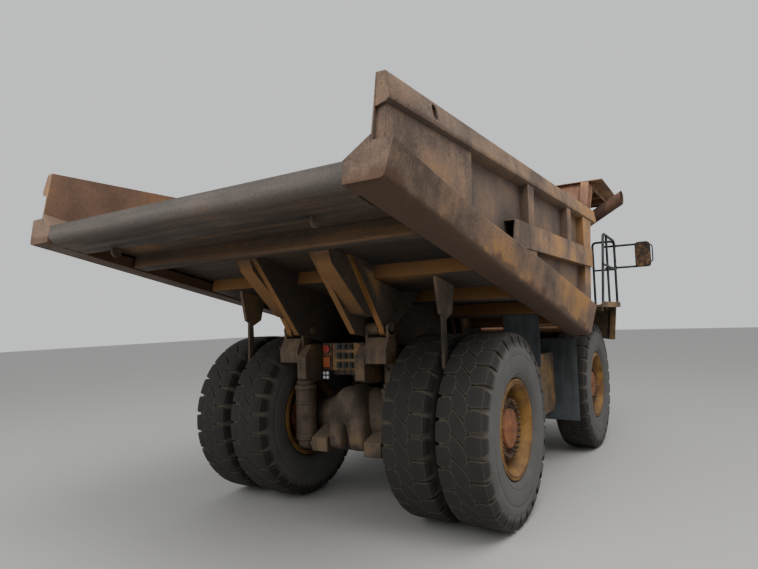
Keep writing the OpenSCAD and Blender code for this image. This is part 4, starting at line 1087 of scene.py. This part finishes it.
def floor_spot(along, above):
    """Forward and up position of a point along the sloping floor and above its lower edge."""
    return (tail_x + along * math.cos(floor_tilt) + above * math.sin(floor_tilt),
            tail_z - along * math.sin(floor_tilt) + above * math.cos(floor_tilt))


def over_floor(forward, above):
    """Forward and up position of a point at a place along the truck, above the sloping floor."""
    return forward, tail_z + above / math.cos(floor_tilt) - (forward - tail_x) * math.tan(floor_tilt)


def floor_ring(along, section):
    """Ring of (sideways, above) points, square to the sloping floor."""
    ring = []
    for y, above in section:
        x, z = floor_spot(along, above)
        ring.append((x + rear_axle_x, y, z))
    return ring


def front_at(up, ahead=0.0):
    """Point of the leaning front wall at a height, moved square ahead of its inner face."""
    return front_foot[0] + (up - front_foot[1]) * front_tilt + ahead / math.cos(math.atan(front_tilt)), up


front_top = front_at(wall_top)[0]
# Rails and posts start just inside the wall's outer face.
inset = wall_y - 0.001


def lower_rail():
    """Box rail that leans out, and grows towards the front."""
    rings = []
    for along, high in ((0.0, 0.258), (1.4, 0.258), (2.95, 0.345), (floor_long - 0.09, 0.42)):
        lean = 1.976 + (high - 0.032) * 0.192
        rings.append(floor_ring(along, [(1.69, 0.0), (1.932, 0.0), (1.958, 0.007), (1.97, 0.018),
                                        (1.976, 0.032), (lean, high - 0.012), (lean - 0.012, high),
                                        (inset, high), (inset, 0.14), (1.73, 0.12)]))
    return skin(rings)


def top_rail():
    """Closed box along the wall's upper edge."""
    rings = []
    for high_x, lean in ((tail_top, 0.174), (front_top, 0.385)):
        rings.append([(high_x - lean * (wall_top - z) + rear_axle_x, y, z) for y, z in
                      ((inset, wall_top), (1.918, wall_top - 0.004), (1.93, wall_top - 0.014),
                       (1.964, wall_top - 0.17), (1.958, wall_top - 0.196), (1.938, wall_top - 0.214),
                       (inset, wall_top - 0.232))])
    return skin(rings)


def hole_tool():
    """Upright oval that is cut into the top rail near the tail."""
    hole_r = 0.036
    hole_x = tail_x + 0.745
    hole_z = wall_top - 0.0975
    ring = []
    for k in range(24):
        a = 2 * math.pi * k / 24
        lift = 0.0225 if math.sin(a) >= 0 else -0.0225
        ring.append((hole_x + hole_r * math.cos(a), hole_z + lift + hole_r * math.sin(a)))
    return plate(ring, 1.9, 2.02)


def tail_block():
    """Closed end of the lower rail, wider than the rail, that meets the tail lip."""
    section = ((1.668, 0.0), (1.936, 0.0), (1.966, 0.012), (1.977, 0.034), (2.017, 0.246),
               (2.007, 0.2585), (1.866, 0.2585), (1.72, 0.158), (1.668, 0.158))
    return skin([floor_ring(along, section) for along in (-0.001, 0.17)])


def side_parts():
    """Wall plate, rails, posts and panels of the left side."""
    panel_top = 3.351
    post_top = 3.371
    parts = [plate([floor_spot(0.01, 0.02), floor_spot(floor_long, 0.02), (front_top, wall_top),
                    (tail_top, wall_top)], body_y, wall_y),
             lower_rail(), tail_block()]
    # Flush panel between the rails at the tail
    parts.append(plate([over_floor(tail_top - 0.06, 0.248), (tail_top - 0.012, panel_top),
                        (-1.26, panel_top), over_floor(-1.3, 0.248)], inset, 1.93))
    # Plate between the middle rail's open end and the lower rail
    parts.append(plate([over_floor(-0.56, 0.248), (-0.47, 2.68), (0.25, 2.68), over_floor(0.23, 0.248)],
                       inset, 1.969))
    # Upright posts, the second one above the middle rail only, and the broad front post
    parts.append(plate([over_floor(0.08, 0.2), over_floor(0.28, 0.2), (0.32, post_top),
                        (0.12, post_top)], inset, 1.945))
    parts.append(plate([(1.64, 2.9), (1.84, 2.9), (1.86, post_top), (1.66, post_top)], inset, 1.945))
    parts.append(plate([over_floor(front_top - 1.15, 0.3), over_floor(front_top - 0.68, 0.2),
                        (front_top - 0.372, 3.29), (front_top - 0.35, post_top),
                        (front_top - 0.87, post_top), (front_top - 0.88, 2.56),
                        (front_top - 0.93, 2.35)], inset, 1.944))
    return parts


# The left side is used as it is, and mirrored for the right one.
for side, turn_over in (("left", list), ("right", mirrored)):
    rail = carve(build("rail", turn_over([top_rail()]), body_plate),
                 build("tool", turn_over([hole_tool()]), body_plate))
    # Middle rail along the front half, an open box at its rear end
    middle_rail = plate([(-0.48, 2.67), (-0.39, 2.92), (front_top - 0.51, 2.92), (front_top - 0.53, 2.67)],
                        inset, 1.975)
    hollow_end = plate([(-0.6, 2.6), (-0.5, 2.906), (-0.05, 2.906), (-0.05, 2.682), (-0.5, 2.682)],
                       1.863, 1.962)
    middle = carve(build("middle", turn_over([middle_rail]), body_plate),
                   build("tool", turn_over([hollow_end]), body_plate))
    walls = build("walls", turn_over(side_parts()), body_plate)
    whole_side = join("dump_body_side_" + side, [walls, rail, middle])
    round_edges(whole_side, 0.006, 30)
    seat(settle(whole_side), "dump_body", "body_steel", "body_side_" + side)

# Front wall, its stiffeners and the corner posts inside
canopy_z = 4.04
wall_foot = floor_spot(floor_long, 0.06)[1]
half_wall = 1.859
wall_parts = [plate([front_at(wall_foot, 0.0003), front_at(wall_foot, 0.012),
                     front_at(canopy_z - 0.0015, 0.012), front_at(canopy_z, 0.0003)],
                    -half_wall, half_wall)]
for z in (1.88, 2.5, 3.1):
    wall_parts.append(plate([front_at(z, 0.011), front_at(z, 0.11), front_at(z + 0.18, 0.11),
                             front_at(z + 0.18, 0.011)], -half_wall, half_wall))
for y in (-1.4, -0.5, 0.4, 1.3):
    wall_parts.append(plate([front_at(wall_foot + 0.01, 0.011), front_at(wall_foot + 0.06, 0.09),
                             front_at(canopy_z - 0.12, 0.09), front_at(canopy_z - 0.03, 0.011)], y, y + 0.1))
corner_post = plate([front_at(wall_foot + 0.26, 0.0004), front_at(wall_foot + 0.26, -0.04),
                     front_at(wall_foot + 0.33, -0.062), front_at(canopy_z, -0.062),
                     front_at(canopy_z, 0.0004)], 1.73, 1.8477)
wall_parts += [corner_post] + mirrored([corner_post])
seat(settle(build("dump_body_front", wall_parts, canopy_plate, soften=0.004)), "dump_body", "body_steel",
     "body_front_wall")

# Canopy over the cab, falling a little towards the front
canopy_x = front_at(canopy_z)[0]
fall = -math.tan(math.radians(4))
canopy_long = 1.33


def roof(ahead, above):
    """Forward and up position of a point over the falling canopy's lower face."""
    return canopy_x + ahead, canopy_z + ahead * fall + above


canopy_parts = [plate([(canopy_x - 0.06, canopy_z + 0.0003), roof(0.0, 0.0003), roof(canopy_long, 0.0),
                       roof(canopy_long, 0.014), roof(0.0, 0.0143),
                       (canopy_x - 0.06, canopy_z + 0.0143)], -2.04, 2.04)]
gusset = plate([front_at(wall_top + 0.01, 0.0123), (canopy_x + 0.08, canopy_z - 0.11),
                roof(canopy_long, -0.06), roof(canopy_long, 0.001), roof(0.0, 0.001),
                front_at(canopy_z, 0.0123)], 1.862, 1.876)
canopy_parts += [gusset] + mirrored([gusset])
rib = 0.04
for ahead in (0.3, 0.7, 1.1, canopy_long - rib):
    canopy_parts.append(plate([roof(ahead, 0.001), roof(ahead, -0.08),
                               (canopy_x + ahead + rib, canopy_z + ahead * fall - 0.08),
                               roof(ahead + rib, 0.001)], -1.863, 1.863))
seat(settle(build("dump_body_canopy", canopy_parts, canopy_plate, soften=0.003)), "dump_body", "body_steel",
     "body_canopy")

# Floor with its beams, bolsters and closed tail lip, and what hangs below it
rounded("body_floor", floor_plate, "body_steel", 0.006)
lug_x = -2.3
lug_r = 0.046
lug_z = over_floor(lug_x, 0.0)[1] - 0.03
lug_top = over_floor(lug_x, 0.03)[1]
turns = [math.radians(a) for a in range(180, 361, 15)]
ring_lug = plate([(lug_x + lug_r * math.cos(a), lug_z + lug_r * math.sin(a)) for a in turns] +
                 [(-2.258, lug_top), (-2.342, lug_top)], 1.155, 1.185)
hanger = plate([over_floor(-1.4, 0.144), (-1.33, 2.56), (-0.83, 2.11), (-0.64, 2.07), (-0.38, 2.07),
                over_floor(0.3, 0.144)], 0.4, 0.575)
seat_pair("body_hangers", [ring_lug, hanger], floor_plate, 0.005, "dump_body", "body_steel")
corner_plate = skin([floor_ring(along, ((1.648, 0.159), (body_y, 0.159), (body_y, 0.305)))
                     for along in (0.0, floor_long - 0.06)])
seat_pair("floor_corner_plates", [corner_plate], body_plate, 0.004, "dump_body", "body_steel")

# Hoists
# Two-stage telescopic cylinders: painted steel barrels with hard-chromed, ground inner stages that
# the wipers keep clean.


def hard_chrome():
    """Ground chrome, dulled in places by a film of oil and dust."""
    finish, tree, out = new_finish("ground hard chrome")
    spot = add(tree, "ShaderNodeTexCoord").outputs["Object"]
    film = add(tree, "ShaderNodeTexNoise", {"Vector": spot, "Scale": 1 / 0.05, "Detail": 4.0})
    rough = add(tree, "ShaderNodeMapRange", {"Value": film.outputs["Fac"], "To Min": 0.1, "To Max": 0.32})
    shader = add(tree, "ShaderNodeBsdfPrincipled", {"Base Color": linear("#c3c4c6"), "Metallic": 1.0,
                 "Roughness": rough.outputs[0]})
    tree.links.new(shader.outputs[0], out.inputs[0])
    return finish


chrome = hard_chrome()
dress("hoist_barrels", frame_enamel)
for node in ("hoist_stages", "hoist_rods"):
    dress(node, chrome)

# Floor and light
# A pale ground, one broad soft lamp above and an even pale sky, so that colours show as they are.
ground_mesh = bpy.data.meshes.new("ground")
ground_mesh.from_pydata([(-60, -60, 0), (60, -60, 0), (60, 60, 0), (-60, 60, 0)], [], [(0, 1, 2, 3)])
stand("ground", ground_mesh)
ground_finish, ground_tree, ground_out = new_finish("pale studio floor")
ground_shader = add(ground_tree, "ShaderNodeBsdfPrincipled", {"Base Color": linear("#bdbbb6"),
                    "Roughness": 0.9})
ground_tree.links.new(ground_shader.outputs[0], ground_out.inputs[0])
ground_mesh.materials.append(ground_finish)

world = bpy.data.worlds.new("soft sky")
world.use_nodes = True
bpy.context.scene.world = world
sky = world.node_tree
sky.nodes.clear()
light_path = add(sky, "ShaderNodeLightPath")
seen = add(sky, "ShaderNodeMath", {0: light_path.outputs["Is Camera Ray"],
           1: light_path.outputs["Is Glossy Ray"]}, operation="MAXIMUM")
seen_too = add(sky, "ShaderNodeMath", {0: seen.outputs[0],
               1: light_path.outputs["Is Transmission Ray"]}, operation="MAXIMUM")
lit = add(sky, "ShaderNodeBackground", {"Color": linear("#eef1f5"), "Strength": 0.62})
backdrop = add(sky, "ShaderNodeBackground", {"Color": linear("#e4e6e8"), "Strength": 1.0})
either = add(sky, "ShaderNodeMixShader", {0: seen_too.outputs[0], 1: lit.outputs[0],
             2: backdrop.outputs[0]})
add(sky, "ShaderNodeOutputWorld", {"Surface": either.outputs[0]})


def soft_lamp(name, place, aim, size, watts):
    """A square soft box that looks at a point."""
    lamp = bpy.data.lights.new(name, "AREA")
    lamp.shape = "SQUARE"
    lamp.size = size
    lamp.energy = watts
    holder = bpy.data.objects.new(name, lamp)
    holder.location = place
    holder.rotation_euler = (Vector(aim) - Vector(place)).to_track_quat("-Z", "Y").to_euler()
    bpy.context.scene.collection.objects.link(holder)


soft_lamp("sky panel", (-4.0, -5.0, 12.0), (0.0, 0.0, 1.5), 9.0, 1300.0)
soft_lamp("side panel", (-10.0, 3.0, 6.0), (-1.0, 0.0, 1.5), 6.0, 260.0)
